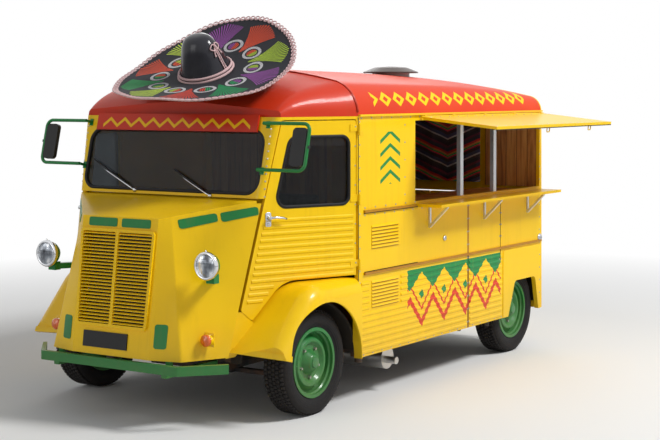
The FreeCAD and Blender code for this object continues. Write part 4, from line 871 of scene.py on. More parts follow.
def crown_at(height, angle, out=0.006):
    """A place just outside the crown's side."""
    for (r0, z0), (r1, z1) in zip(CROWN, CROWN[1:]):
        if z0 <= height <= z1:
            return HAT @ spoke(angle, r0 + (r1 - r0) * (height - z0) / (z1 - z0) + out, height)


def brim_velvet():
    """Dark velvet with fans of coloured thread and silver loops, in the brim's own UV."""
    shade = Shade("hat_velvet")
    across, out = shade.split_uv()
    sector = across * len(THREADS)
    spread = (sector.fraction() - 0.5) / (out * 1.38 - 0.3)
    threads = (spread * 15).zigzag()
    reach = 0.94 - abs(spread) * 0.24
    fan = (abs(spread) < 0.5) * (out > 0.26) * (out < reach)
    stops = [(i / 10, tone) for i, tone in enumerate(THREADS)]
    palette = shade.ramp(sector.math("FLOOR") / 10 + 0.01, *stops, stepped=True)
    pile = shade.noise(380)
    velvet = shade.mix(pile, colours().velvet, (0.03, 0.03, 0.036))
    base = shade.mix(fan * (threads > (out * 0.5 + 0.14)), velvet, palette)
    loop_u, loop_v = ((sector + 0.5).fraction() - 0.5) * 2.9, (out - 0.37) * 6.4
    ring = distance(loop_u, loop_v)
    silver = abs(ring - 0.87) < 0.15
    glints = shade.ramp(shade.noise(300, 2), (0.35, (0.2, 0.2, 0.21)), (0.6, (0.72, 0.7, 0.71)))
    base = shade.mix(ring < 1.14, base, velvet)
    base = shade.mix(silver, base, glints)
    petals = (loop_u * 5).zigzag() > 0.4
    base = shade.mix((ring < 0.56) * petals, base, palette)
    return shade.finish(
        (threads * fan * 0.6 + silver + pile * 0.3, 0.6, 0.002), base_color=base,
        roughness=pile * 0.2 + 0.6, specular_ior_level=0.15, sheen_weight=0.05, sheen_roughness=0.4,
    )


def crown_velvet():
    shade = Shade("crown_velvet")
    pile = shade.noise(380)
    return shade.finish(
        (pile, 0.25, 0.001), base_color=shade.mix(shade.noise(9), colours().velvet, (0.03, 0.03, 0.04)),
        roughness=pile * 0.1 + 0.1, coat_weight=0.05, specular_ior_level=0.28,
    )


def rope_fibre():
    shade = Shade("hat_rope")
    fibre = shade.noise(420, 4, 0.7)
    return shade.finish(
        (fibre, 0.5, 0.0015), base_color=shade.mix(fibre, (0.4, 0.16, 0.17), colours().rope),
        roughness=fibre * 0.2 + 0.65, specular_ior_level=0.2,
    )


class TRUCK_OT_hat(bpy.types.Operator):
    """Wide hat with thread fans, rope edge, crown band and lacing"""

    bl_idname = "truck.hat"
    bl_label = "Dress the hat"

    def execute(self, context):
        rings = range(19)
        top = [[brim_at(t, i / 18) for t in turns(180)] for i in rings]
        under = [[brim_at(t, i / 18, -BRIM_THICK) for t in turns(180)] for i in reversed(rings)]
        form = Form()
        for rows in (top, top[-1:] + under[:1], under, under[-1:] + top[:1]):
            form.grid(rows, closed_columns=True)
        brim = form.piece("hat_brim", brim_velvet(), "chassis", "felt")
        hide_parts("sombrero")
        crown = Form()
        rows = []
        for radius, height in CROWN:
            pinch = 0.16 * max(0.0, (height - 0.1) / 0.2)
            squeezed = Matrix.Diagonal((1 - pinch, 1 + pinch * 0.3, 1, 1))
            rows.append([HAT @ squeezed @ spoke(t, radius, height) for t in turns(96)])
        crown.grid(rows, closed_columns=True)
        crown.piece("hat_crown", crown_velvet(), "chassis", "felt", weld=1e-4)
        rope = rope_fibre()
        self.add_edge(rope)
        self.add_loops(rope)
        self.add_band(rope)
        self.add_lacing(rope)
        return {"FINISHED"}

    def add_edge(self, rope):
        """Two strands twisted round the edge of the brim."""
        edge = Form()
        twists, steps, strand = 88, 1056, 0.0038
        lean = HAT.to_3x3()
        upward = (lean @ Vector((0, 0, 1))).normalized()
        for phase in (0, math.pi):
            path = []
            for angle in turns(steps):
                twist = twists * angle + phase
                outward = (lean @ spoke(angle, 1, 0.3)).normalized()
                rise = strand * math.sin(twist) - 0.004
                path.append(brim_at(angle, 1.0) + outward * (strand * math.cos(twist)) + upward * rise)
            edge.tube(path, 0.0045, 6, closed=True)
        edge.piece("brim_rope", rope, "chassis", "cloth")

    def add_loops(self, rope):
        """Small rope loops that stand all along the edge of the brim."""
        loops = Growth("brim_loops", count="Int")
        path = loops.add("GeometryNodeMeshToCurve", inputs={0: loops.given("Geometry")})
        curve = loops.add(
            "GeometryNodeResampleCurve", {"mode": "COUNT"}, {"Curve": path, "Count": loops.given("count")}
        )
        ring = loops.add("GeometryNodeCurvePrimitiveCircle", inputs={"Resolution": 12, "Radius": 0.0165})
        section = loops.add("GeometryNodeCurvePrimitiveCircle", inputs={"Resolution": 5, "Radius": 0.0042})
        loop = loops.add("GeometryNodeCurveToMesh", inputs={"Curve": ring, "Profile Curve": section})
        along = loops.aligned("X", loops.add("GeometryNodeInputTangent"))
        upright = loops.aligned("Z", loops.stored_facing(), along, "X")
        loops.close(loops.repeated(curve, loop, upright), rope)
        count = 288
        spots = [brim_at(t, 1.012, 0.001) for t in turns(count)]
        mesh = bpy.data.meshes.new("path")
        mesh.from_pydata([tuple(p) for p in spots], [(k, (k + 1) % count) for k in range(count)], [])
        step = 2 * math.pi / count
        store_facing(mesh, [
            (brim_at(t, 1.0) - brim_at(t, 0.93)).cross(brim_at(t + step, 1.012) - spot).normalized()
            for t, spot in zip(turns(count), spots)
        ])
        link("brim_loops", loops.grow(mesh, count=trim().brim_loops), rope, "chassis")

    def add_band(self, rope):
        band = Form()
        for radius, height in ((0.177, 0.022), (0.17, 0.042)):
            band.tube([HAT @ spoke(t, radius, height) for t in turns(96)], 0.0085, 8, closed=True)
        band.piece("hat_band", rope, "chassis", "cloth")

    def add_lacing(self, rope):
        """Crossed lace up the crown's side, a bow with two loops, and two tassel ends."""
        lace = Form()
        side, knot = math.radians(92), 0.197
        for sway in (1, -1):
            lace.tube([crown_at(0.04 + 0.15 * k / 16, side + sway * 0.05) for k in range(17)], 0.0045, 8)
            lace.tube([
                crown_at(knot + 0.026 * math.sin(t) * (0.7 + 0.3 * math.cos(t)),
                         side + sway * 0.17 * (1 - math.cos(t)), 0.01)
                for t in span(0, 2 * math.pi, 0.35)
            ], 0.0042, 8)
            tail = [
                crown_at(0.193 - 0.055 * k / 8, side + sway * (0.08 + 0.14 * math.sin(k / 8 * 1.6)), 0.009)
                for k in range(9)
            ]
            lace.tube(tail, [0.004] * 7 + [0.007, 0.005], 8)
        lace.tube([crown_at(0.188, side, 0.012), crown_at(0.206, side, 0.012)], 0.009, 10)
        lace.piece("hat_lace", rope, "chassis", "cloth")


# Windows and the cab's sides


class TRUCK_OT_seals(bpy.types.Operator):
    """Rubber seals round the windscreen and the door windows"""

    bl_idname = "truck.seals"
    bl_label = "Fit window seals"

    def execute(self, context):
        black = rubber("seal_rubber", colours().rubber, 0.5)
        form = Form()
        seal(form, SCREEN, rectangle(-0.7, 0.7, 0.032, 0.412, 0.08))
        form.piece("screen_seal", black, "chassis", "black_plastic")
        window = ((0.072, 1.282, 0.05), (0.606, 1.282, 0.06), (0.499, 1.698, 0.06), (0.072, 1.698, 0.05))
        for plane, sign, name in DOORS:
            form = Form()
            seal(form, plane, [(sign * x, z, radius) for x, z, radius in window])
            form.piece(f"door_seal_{name}", black, f"{name}_cab_door", "black_plastic")
        return {"FINISHED"}


class TRUCK_OT_aprons(bpy.types.Operator):
    """Small panels that close the cab's sides between the nose, the door and the wing"""

    bl_idname = "truck.aprons"
    bl_label = "Close the cab's sides"

    def execute(self, context):
        form = Form()
        outline = ((1.735, 0.664), (1.8, 0.395), (1.74, 0.4), (1.6, 0.56), (1.612, 0.583), (1.69, 0.664))
        count = len(outline)
        for plane, sign, _ in DOORS:
            flat = [(sign * (x - DOOR_FOOT.x) / TURN_COS, z) for x, z in outline]
            rows = [[plane.at(x, z, out) for x, z in flat] for out in (-0.003, -0.005)]
            start = form.grid(rows, closed_columns=True)
            form.cap(range(start, start + count))
            form.cap(range(start + count, start + 2 * count), flip=True)
        finish = paint("apron_paint", colours().body, faded_body())
        form.piece("cab_aprons", finish, "chassis", "body_yellow", smooth=False)
        return {"FINISHED"}


# Lamps


class TRUCK_OT_lamps(bpy.types.Operator):
    """Lenses and bright rims of the head lamps, signal lamps and tail lamps"""

    bl_idname = "truck.lamps"
    bl_label = "Fit the lamps"

    def execute(self, context):
        self.add_head_lamps()
        self.add_domes()
        return {"FINISHED"}

    def add_head_lamps(self):
        chrome = metal("lamp_chrome", (0.7, 0.71, 0.73), 0.13, 0.04)
        rims, lenses = Form(), Form()
        y, z = 0.64, 0.966
        bulge = [(0.068 * math.sin(a), 0.004 + 0.0135 * math.cos(a)) for a in span(0, math.pi / 2, 0.16)]
        for sign in (1, -1):
            place = facing((1.975, sign * y, z), (1, 0, 0))
            rims.lathe([(0.0665, -0.004), (0.0665, 0.006), (0.069, 0.0115), (0.0745, 0.0135),
                        (0.0805, 0.0105), (0.0845, 0.003), (0.0855, -0.008), (0.0835, -0.016),
                        (0.0805, -0.016)], place, 72, closed=True)
            screw = facing((1.973, sign * y, z + 0.0825), (0.35, 0, 1))
            rims.lathe([(0.0, 0.0), (0.0, 0.011), (0.004, 0.011), (0.005, 0.0)], screw, 12)
            lenses.lathe(list(reversed(bulge)), place, 72)
        rims.piece("lamp_rims", chrome, "chassis", "chrome")
        lenses.piece("lamp_lenses", lamp_glass("lamp_lens"), "chassis", "window_glass")

    def add_domes(self):
        """Stepped signal domes at the nose and round lamps at the tail."""
        domes = Form()
        for x, y, z, radius, ahead in ((1.94, 0.603, 0.52, 0.034, 1), (-1.698, 0.85, 0.86, 0.036, -1)):
            profile = [(radius + 0.0015, -0.008), (radius + 0.0015, 0.001), (radius - 0.002, 0.004)]
            for k in range(5):
                step, rise = radius * (0.86 - 0.17 * k), 0.0016 * k
                profile += [(step + 0.0015, 0.006 + rise), (step, 0.0078 + rise)]
            profile.append((0.0, 0.0155))
            for sign in (1, -1):
                domes.lathe(profile, facing((x, sign * y, z), (ahead, 0, 0)), 40)
        domes.piece("signal_domes", signal_lens("signal_domes"), "chassis", "amber_plastic")


# Fittings


class TRUCK_OT_fittings(bpy.types.Operator):
    """Wipers, handles, locks, mirror glass, awning edge, latch loops and the core of the grille"""

    bl_idname = "truck.fittings"
    bl_label = "Fit handles and wipers"

    def execute(self, context):
        chrome = metal("handle_chrome", (0.55, 0.56, 0.58), 0.2, 0.06)
        black = rubber("blade_rubber", (0.012, 0.012, 0.013), 0.45)
        self.add_wipers(chrome, black)
        self.add_mirror_glass()
        self.add_cab_handles(chrome)
        self.add_tail_handles(chrome)
        self.add_awning_trim(black)
        self.add_side_locks(chrome)
        self.add_radiator()
        return {"FINISHED"}

    def add_wipers(self, chrome, black):
        arms, blades = Form(), Form()
        foot_z = SCREEN_FOOT.z
        for (y0, z0), (y1, z1) in (
            ((-0.262, 1.355), (-0.642, 1.528)), ((0.352, 1.340), (0.044, 1.483))
        ):
            foot = Vector((y0, (z0 - foot_z) / LEAN_COS))
            tip = Vector((y1, (z1 - foot_z) / LEAN_COS))
            arms.lathe([(0.0, -0.002), (0.014, -0.002), (0.014, 0.006), (0.01, 0.012), (0.006, 0.016),
                        (0.0, 0.017)], SCREEN.matrix(foot.x, foot.y), 20)
            rise = [0.012 + 0.012 * math.sin(math.pi * min(1, k / 6) / 2) for k in range(8)]
            path = [SCREEN.at(*foot.lerp(tip, k / 10), out) for k, out in enumerate(rise)]
            arms.tube(path, [0.005 - 0.0003 * k for k in range(8)], 8)
            slide = Vector((tip.y - foot.y, foot.x - tip.x)).normalized() * 0.009
            ends = [SCREEN.at(*(spot + slide), 0.004) for spot in (foot.lerp(tip, 0.22), tip)]
            blades.beam(*ends, SCREEN.out, 0.006, 0.016)
        arms.piece("wiper_arms", chrome, "chassis", "chrome")
        blades.piece("wiper_blades", black, "chassis", "black_plastic", smooth=False)

    def add_mirror_glass(self):
        """Reflecting plates on the rear faces of the mirror heads."""
        form = Form()
        for sign in (1, -1):
            outline = rectangle(sign * 0.962, sign * 1.051, 0.203, 0.422, 0.02)
            form.plate(SCREEN, outline, 0.0358, 0.034, -0.001)
        silver = metal("mirror_silver", (0.9, 0.92, 0.93), 0.1, 0.01)
        form.piece("mirror_glass", silver, "chassis", "chrome", smooth=False)

    def add_cab_handles(self, chrome):
        """Plate, turned boss, bent lever and key barrel on each cab door."""
        for plane, sign, name in DOORS:
            form = Form()
            x, z = sign * 0.658, 1.208
            form.plate(plane, rectangle(x - 0.02, x + 0.02, z - 0.045, z + 0.045, 0.012), -0.002, 0.005)
            form.lathe([(0.013, 0.004), (0.011, 0.02), (0.0125, 0.034), (0.008, 0.038), (0.0, 0.038)],
                       plane.matrix(x, z + 0.012), 20)
            bends = ((0, 0.012, 0.029), (0.04, 0.013, 0.031), (0.085, 0.009, 0.032), (0.115, 0.001, 0.03))
            lever = [plane.at(x - sign * run, z + rise, out) for run, rise, out in bends]
            form.tube(lever, [0.0085, 0.0075, 0.0075, 0.006], 10)
            form.lathe([(0.009, 0.004), (0.009, 0.009), (0.006, 0.011), (0.0, 0.011)],
                       plane.matrix(x, z - 0.028), 16)
            form.piece(f"cab_handle_{name}", chrome, f"{name}_cab_door", "chrome")

    def add_tail_handles(self, chrome):
        """Turning handles on the tail doors, the hatch and the sliding door."""
        tail = Plane((-1.668, 0, 0), (0, -1, 0))
        side = Plane((0, -1.045, 0), (1, 0, 0))
        for plane, x, z, lying, body, name in (
            (tail, -0.06, 0.8, 0, "left_tail_door", "tail_left"),
            (tail, 0.06, 0.8, 0, "right_tail_door", "tail_right"),
            (tail, 0.0, 1.24, 1, "tail_hatch", "hatch"),
            (side, 0.78, 1.02, 1, "side_door", "side"),
        ):
            form = Form()
            form.lathe([(0.026, -0.003), (0.026, 0.004), (0.02, 0.007), (0.011, 0.008), (0.009, 0.019),
                        (0.0, 0.019)], plane.matrix(x, z), 24)
            grip = [
                plane.at(x - 0.05 * lying * a, z - 0.05 * (1 - lying) * a, 0.014 + 0.002 * math.cos(a))
                for a in (-1, -0.4, 0.4, 1)
            ]
            form.tube(grip, [0.0045, 0.0062, 0.0062, 0.0045], 10)
            form.piece(f"handle_{name}", chrome, body, "chrome")

    def add_awning_trim(self, black):
        """Dark edge along the flap with two latch loops under it."""
        low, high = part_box("awning_flap")
        corners = [v.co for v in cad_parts["awning_flap"].data.vertices]
        foot = min(co.z for co in corners if co.y > high.y - 0.02)
        back = (Vector((0, 1.024, 1.8)) - Vector((0, high.y, foot))).normalized()
        down = Vector((0, -back.z, back.y)).normalized()
        rear, front = (Vector((x, high.y, foot)) for x in (low.x + 0.004, high.x - 0.004))
        edge = Form()
        for inset in (0.004, 0.03):
            edge.beam(rear + back * inset, front + back * inset, down, 0.008, 0.006)
        edge.piece("awning_edge", black, "awning", "black_plastic", smooth=False)
        loops = Form()
        half, drop = 0.02, 0.036
        for x in (-0.6, -1.28):
            hook = Vector((x, high.y, foot)) + back * 0.02
            bends = ((-1, 0), (-1, 0.85), (-0.8, 1), (0.8, 1), (1, 0.85), (1, 0))
            loops.tube([hook + Vector((a * half, 0, 0)) + down * b * drop for a, b in bends], 0.0038, 8)
            reach = Vector((0.028, 0, 0))
            loops.beam(hook - reach, hook + reach, down, 0.016, 0.003)
        yellow = paint("loop_paint", colours().body, (0.7, 0.5, 0.1))
        loops.piece("latch_loops", yellow, "awning", "body_yellow")

    def add_side_locks(self, chrome):
        """Round lock plates on the left side: a small one in its middle, a larger one near the tail."""
        side = Plane((0, WALL_Y, 0), (-1, 0, 0))
        form = Form()
        form.lathe([(0.019, -0.002), (0.019, 0.005), (0.015, 0.008), (0.008, 0.009), (0.0, 0.009)],
                   side.matrix(0.154, 0.968, 0.004), 28)
        form.lathe([(0.031, -0.002), (0.031, 0.006), (0.024, 0.012), (0.012, 0.015), (0.0, 0.016)],
                   side.matrix(1.622, 0.846), 28)
        form.piece("side_lock", chrome, "chassis", "chrome")

    def add_radiator(self):
        """Dark core behind the louvres, so that no daylight shows through the grille."""
        nose = Plane((2.103, 0, 0.401), (0, 1, 0), (-0.1276, 0, 1))
        form = Form()
        form.plate(nose, rectangle(-0.255, 0.255, 0.18, 0.742, 0.01), -0.062, -0.046)
        black = plastic("radiator_black", (0.012, 0.012, 0.012), 0.6)
        form.piece("radiator_core", black, "chassis", "chassis_black", smooth=False)


# Seams and screws


class TRUCK_OT_seams(bpy.types.Operator):
    """Dark strips in the panel joints and along the rails, for sealant and painted shadow in the gaps, and
    the ridge over the cab seam
    """

    bl_idname = "truck.seams"
    bl_label = "Fit joint strips"

    def execute(self, context):
        form = Form()
        for x, side, low, high in (
            (0.9165, 1, 0.31, 1.815), (0.9165, -1, 0.31, 1.815), (-0.494, 1, 0.3, 0.81),
            (-0.98, 1, 0.72, 1.205),
        ):
            y = side * WALL_Y
            form.beam((x, y, low), (x, y, high), (0, side, 0), 0.005, 0.0022)
        for z, rear, width, height in ((1.2085, -1.63, 0.006, 0.003), (0.8345, 0.2, 0.004, 0.002)):
            form.beam((rear, WALL_Y, z), (0.85, WALL_Y, z), (0, 1, 0), width, height)
        # Dark strips that stand for sealant and for the shadow in the gaps between panels and along the rails
        black = rubber("joint_rubber", (0.02, 0.012, 0.008), 0.6)
        form.piece("joint_strips", black, "chassis", "black_plastic", smooth=False)
        self.add_ridge()
        return {"FINISHED"}

    def add_ridge(self):
        """Raised bead over the joint between the cap and the main roof."""
        roofs = surface("main_roof", "cab_roof")
        seam_x, middle_z, beyond = 0.9175, 1.84, 2.0
        path, outs = [], []
        for turn in span(-1.56, 1.56, 0.045):
            ahead = Vector((0, math.sin(turn), math.cos(turn)))
            start = Vector((seam_x - 0.006, 0, middle_z)) + ahead * beyond
            for place, normal in landed(roofs, [start], -ahead):
                normal.x = 0
                path.append(Vector((seam_x, place.y, place.z)))
                outs.append(normal.normalized())
        profile = [(-0.009, -0.002), (-0.009, 0.0025), (-0.004, 0.006), (0.004, 0.006), (0.009, 0.0025),
                   (0.009, -0.002)]
        form = Form()
        form.sweep(path, profile, [Vector((1, 0, 0))] * len(path), outs, closed=False)
        roof = colours().roof
        form.piece("cap_ridge", paint("ridge_paint", mixed(roof, (0.2, 0.005, 0.005), 0.5), roof),
                   "chassis", "roof_red")


class TRUCK_OT_screws(bpy.types.Operator):
    """Rows of screws along the panel edges, pillars and doors"""

    bl_idname = "truck.screws"
    bl_label = "Drive the screws"

    def execute(self, context):
        steel = metal("screw_steel", (0.5, 0.46, 0.38), 0.34)
        radius = trim().screw_radius
        studs("panel_screws", self.panel_spots(), radius, 0.0032, 8, steel, "chassis")
        for plane, sign, name in DOORS:
            edge = [plane.at(sign * 0.022, z, 0.2) for z in span(0.66, 1.76, 0.12)]
            edge += [plane.at(sign * x, 0.64, 0.2) for x in span(0.06, 0.5, 0.11)]
            spots = landed(surface(f"cab_door_{name}"), edge, -plane.out)
            studs(f"door_screws_{name}", spots, radius * 0.9, 0.003, 8, steel, f"{name}_cab_door")
        heads = [(x, y, 2.2) for x in span(-1.58, 0.15, 0.1225) for y in (1.075, 1.575)]
        spots = landed(surface("awning_flap"), heads, (0, 0, -1))
        studs("awning_screws", spots, radius, 0.003, 8, steel, "awning")
        rim = [(x, -1.3, z) for x in (-0.02, 0.86) for z in span(0.4, 1.74, 0.12)]
        spots = landed(surface("sliding_door"), rim, (0, 1, 0))
        studs("slide_screws", spots, radius, 0.003, 8, steel, "side_door")
        return {"FINISHED"}

    def panel_spots(self):
        """Rows that rays find on the fixed panels: both sides, the left side, the tail, the pillars."""
        walls = surface(
            "side_front_left", "side_rear_left", "side_upper_left", "side_right", "rear_frame", "cab_frame"
        )
        beyond = 1.3
        both = [(0.9, z) for z in span(0.335, 1.79, 0.072)]
        both += [(x, 0.309) for x in span(-1.0, 0.86, 0.11)]
        both += [(-1.622, z) for z in span(0.42, 1.79, 0.098)]
        left = [(x, z) for x in (-0.482, -0.506) for z in span(0.34, 1.17, 0.092)]
        left += [(x, z) for x in (-0.968, -0.992) for z in span(0.74, 1.17, 0.092)]
        for z, first, last in ((1.196, -1.6, 0.84), (1.243, 0.23, 0.84), (1.812, -1.6, 0.88)):
            left += [(x, z) for x in span(first, last, 0.118)]
        left += [(x, z) for x in (0.215, 0.36) for z in span(1.3, 1.76, 0.115)]
        spots = []
        for sign, rows in ((1, both), (-1, both), (1, left)):
            spots += landed(walls, [(x, sign * beyond, z) for x, z in rows], (0, -sign, 0))
        lamp_z = 0.86
        tail = [z for z in span(0.4, 1.72, 0.11) if abs(z - lamp_z) > 0.06]
        spots += landed(walls, [(-1.9, y, z) for y in (-0.86, 0.86) for z in tail], (1, 0, 0))
        for sign in (1, -1):
            pillar = [SCREEN.at(sign * 0.745, z, 0.2) for z in span(0.02, 0.43, 0.045)]
            spots += landed(walls, pillar, -SCREEN.out)
        return spots


# Wheels


class TRUCK_OT_hubs(bpy.types.Operator):
    """Nuts, centre caps and valves of the wheels"""

    bl_idname = "truck.hubs"
    bl_label = "Fit wheel nuts"

    def execute(self, context):
        green = paint("hub_paint", colours().trim, (0.02, 0.14, 0.05), coat=0.6, rough=0.3)
        steel = metal("nut_steel", (0.42, 0.4, 0.36), 0.36)
        nut_circle, first_nut, beyond = 0.093, 0.3, 0.2
        for name, sign, place in wheels():
            rim, inward = surface(f"rim_{name}"), (0, -sign, 0)
            starts = [place @ spoke(t + first_nut, nut_circle, beyond) for t in turns(5)]
            studs(f"wheel_nuts_{name}", landed(rim, starts, inward), 0.0125, 0.015, 6, steel, f"{name}_wheel")
            centre = landed(rim, [place @ Vector((0, 0, beyond))], inward)[0][0]
            top = abs(centre.y) - WHEEL_Y
            cap = Form()
            cap.lathe([(0.034, top - 0.006), (0.034, top + 0.002), (0.03, top + 0.0035),
                       (0.012, top + 0.004), (0.0, top + 0.004)], place, 32)
            valve = [place @ Vector((0.166, 0, top - 0.05)), place @ Vector((0.164, 0, top - 0.022))]
            cap.tube(valve, 0.0042, 8)
            cap.piece(f"wheel_cap_{name}", green, f"{name}_wheel", "trim_green")
        return {"FINISHED"}


class TRUCK_OT_tyres(bpy.types.Operator):
    """Tyres with tread blocks, shoulder lugs and moulded rings"""

    bl_idname = "truck.tyres"
    bl_label = "Make the tyres"

    def execute(self, context):
        black = rubber("road_rubber", colours().rubber, 0.72, rings=True)
        blocks = self.tread(black)
        half = [(0.2035, 0.07), (0.218, 0.0705), (0.232, 0.082), (0.25, 0.0915), (0.27, 0.0925),
                (0.288, 0.0905), (0.299, 0.086), (0.3085, 0.0775), (0.3125, 0.066)]
        section = [(0.2035, -0.07)] + half + [(r, -z) for r, z in reversed(half[1:])]
        for name, _, place in wheels():
            form = Form()
            form.lathe(section, place, 96, closed=True)
            tyre = form.mesh(f"road_tyre_{name}")
            lugs = blocks.copy()
            lugs.transform(place)
            work = bmesh.new()
            work.from_mesh(tyre)
            work.from_mesh(lugs)
            work.to_mesh(tyre)
            work.free()
            piece = link(f"road_tyre_{name}", tyre, black, f"{name}_wheel", smooth=True)
            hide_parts(f"tyre_{name}")
        return {"FINISHED"}

    def tread(self, material):
        """Rows of blocks round the axle, grown on a circle of points."""
        grown = Growth("tread_rows", count="Int", radius="Float")
        ring = grown.add("GeometryNodeMeshCircle", {"fill_type": "NONE"},
                         {"Vertices": grown.given("count"), "Radius": grown.given("radius")})
        outward = grown.aligned("X", grown.add("GeometryNodeInputPosition"))
        joined = grown.add("GeometryNodeJoinGeometry")
        middle, inner, outer = (0.0095, 0.0205, 0.021), (0.0095, 0.021, 0.024), (0.0105, 0.0205, 0.025)
        pitch = 2 * math.pi / trim().tread_blocks
        for height, size, shift in ((0.0, middle, 0.0), (0.0275, inner, 0.5), (-0.0275, inner, 0.5),
                                    (0.0575, outer, 0.0), (-0.0575, outer, 0.0)):
            block = grown.add("GeometryNodeMeshCube", inputs={"Size": size})
            row = grown.add("GeometryNodeTransform", inputs={
                "Geometry": grown.repeated(ring, block, outward), "Translation": (0, 0, height),
                "Rotation": (0, 0, shift * pitch)})
            grown.tree.links.new(row.socket, joined.socket.node.inputs[0])
        grown.close(joined, material)
        return grown.grow(bpy.data.meshes.new("seed"), count=trim().tread_blocks, radius=0.3164)


# Cloth


def woven_stripes():
    """Bands of red, green and ochre that fall to the middle on dark wool."""
    shade = Shade("woven_stripes")
    across, down = shade.split_uv()
    fall = (down + abs(across - 0.74) * 0.86) * 2.4
    bands = shade.ramp(
        fall.fraction(),
        (0.0, (0.03, 0.027, 0.038)), (0.12, (0.2, 0.03, 0.08)), (0.2, (0.05, 0.05, 0.08)),
        (0.34, (0.75, 0.03, 0.03)), (0.42, (0.85, 0.33, 0.08)), (0.48, (0.08, 0.42, 0.1)),
        (0.54, (0.85, 0.06, 0.1)), (0.6, (0.05, 0.03, 0.05)), (0.72, (0.07, 0.09, 0.2)),
        (0.84, (0.6, 0.6, 0.62)), (0.9, (0.05, 0.05, 0.06)), stepped=True,
    )
    weave = (across * 420).zigzag() * (down * 260).zigzag()
    fuzz = shade.noise(260, 4, 0.7)
    return shade.finish(
        (weave + fuzz * 0.5, 0.5, 0.0015), base_color=shade.mix(fuzz * 0.35, bands, (0.05, 0.04, 0.04)),
        roughness=fuzz * 0.15 + 0.8, sheen_weight=0.25,
    )


class TRUCK_OT_cloth(bpy.types.Operator):
    """Striped cloth that hangs in folds from the rod inside the tail"""

    bl_idname = "truck.cloth"
    bl_label = "Hang the cloth"

    def execute(self, context):
        low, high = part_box("serape_cloth")
        wide, tall, clear = 150, 50, 0.002
        middle = (low.x + high.x) / 2
        rows = []
        for drop in (i / tall for i in range(tall + 1)):
            z = high.z - clear - (high.z - low.z - 2 * clear) * drop
            row = []
            for share in (j / wide for j in range(wide + 1)):
                fold = math.sin(share * 34 + 0.7 * math.sin(share * 9)) * (0.0045 + 0.004 * drop)
                fold += math.sin(share * 71 + 1.3) * 0.0016
                row.append((middle + fold, low.y + (high.y - low.y) * share, z))
            rows.append(row)
        form = Form()
        form.grid(rows)
        form.uvs = [[(u * (wide + 1) / wide, v) for u, v in face] for face in form.uvs]
        mesh = form.mesh("woven_cloth")
        cloth = link("woven_cloth", mesh, woven_stripes(), "chassis")
        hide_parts("serape_cloth")
        cloth.modifiers.new("thickness", "SOLIDIFY").thickness = 0.002
        return {"FINISHED"}


# Seats


def stuffed(name, low, high):
    """A block with eased edges that cloth pressure pads."""
    low, high, room = Vector(low), Vector(high), Vector((0.02, 0.02, 0.02))
    middle, size = (low + high) / 2, high - low - room
    mesh = bpy.data.meshes.new(name)
    work = bmesh.new()
    bmesh.ops.create_cube(work, size=1)
    for corner in work.verts:
        corner.co = middle + corner.co * size
    bmesh.ops.bevel(work, geom=list(work.edges), offset=0.026, segments=3, profile=0.5, affect="EDGES")
    work.to_mesh(mesh)
    work.free()
    pad = bpy.data.objects.new(name, mesh)
    bpy.context.scene.collection.objects.link(pad)
    fine = pad.modifiers.new("grid", "REMESH")
    fine.mode, fine.voxel_size = "VOXEL", 0.011
    pad.data = applied(pad)
    pad.modifiers.clear()
    pad.data = swollen(pad, frames=20, limit=0.016)
    smooth = pad.modifiers.new("smooth", "SUBSURF")
    smooth.levels = smooth.render_levels = 1
    finished = applied(pad)
    bpy.data.objects.remove(pad)
    return finished


def swollen(pad, frames, limit):
    """The pad's mesh after some frames of cloth with pressure inside; no corner moves beyond the limit."""
    before = [v.co.copy() for v in pad.data.vertices]
    stuffing = pad.modifiers.new("stuffing", "CLOTH")
    stuffing.settings.use_pressure = True
    stuffing.settings.uniform_pressure_force = 4
    stuffing.settings.effector_weights.gravity = 0
    stuffing.settings.tension_stiffness = 12
    stuffing.point_cache.frame_start, stuffing.point_cache.frame_end = 1, frames
    for step in range(1, frames + 1):
        bpy.context.scene.frame_set(step)
    mesh = applied(pad)
    pad.modifiers.clear()
    bpy.context.scene.frame_set(1)
    for corner, old in zip(mesh.vertices, before):
        move = corner.co - old
        if move.length > limit:
            corner.co = old + move.normalized() * limit
    return mesh


class TRUCK_OT_seats(bpy.types.Operator):
    """Padded seats and backs with sewn channels, on painted boxes"""

    bl_idname = "truck.seats"
    bl_label = "Upholster the seats"

    def execute(self, context):
        boxes = Form()
        x, z = 0.975, 0.3652
        for sign in (1, -1):
            boxes.beam((x, sign * 0.242, z), (x, sign * 0.558, z), (0, 0, 1), 0.39, 0.353, 0.03)
        dark = paint("seat_box_paint", (0.05, 0.05, 0.055), (0.09, 0.08, 0.07))
        base = boxes.piece("seat_boxes", dark, "chassis", "chassis_black", smooth=False)
        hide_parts("cab_seats")
        hide = leather("seat_leather_pad", (0.05, 0.03, 0.02))
        for kind, low, high, axis in (
            ("cushion", (0.77, 0.203, 0.722), (1.225, 0.577, 0.842), 2),
            ("back", (0.684, 0.203, 0.852), (0.776, 0.577, 1.328), 0),
        ):
            shape = stuffed(f"seat_{kind}", low, high)
            self.sew(shape, low, high, axis)
            for sign, side in ((1, "left"), (-1, "right")):
                mesh = shape.copy()
                mesh.transform(Matrix.Diagonal((1, sign, 1, 1)))
                if sign < 0:
                    mesh.flip_normals()
                piece = link(f"seat_{kind}_{side}", mesh, hide, "chassis")
                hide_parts("cab_seats")
        return {"FINISHED"}

    def sew(self, mesh, low, high, axis):
        """Press channels across the face that is sat on or leaned on, at the high end of the axis."""
        margin, count = 0.05, 5
        start, stop = low[1] + margin, high[1] - margin
        seams = [start + (stop - start) * (k + 1) / (count + 1) for k in range(count)]
        for corner in mesh.vertices:
            near = 1 - min(1.0, abs(corner.co[axis] - high[axis]) / 0.04)
            groove = max(math.exp(-((corner.co.y - y) / 0.007) ** 2) for y in seams)
            corner.co[axis] -= 0.009 * groove * near


# Stage

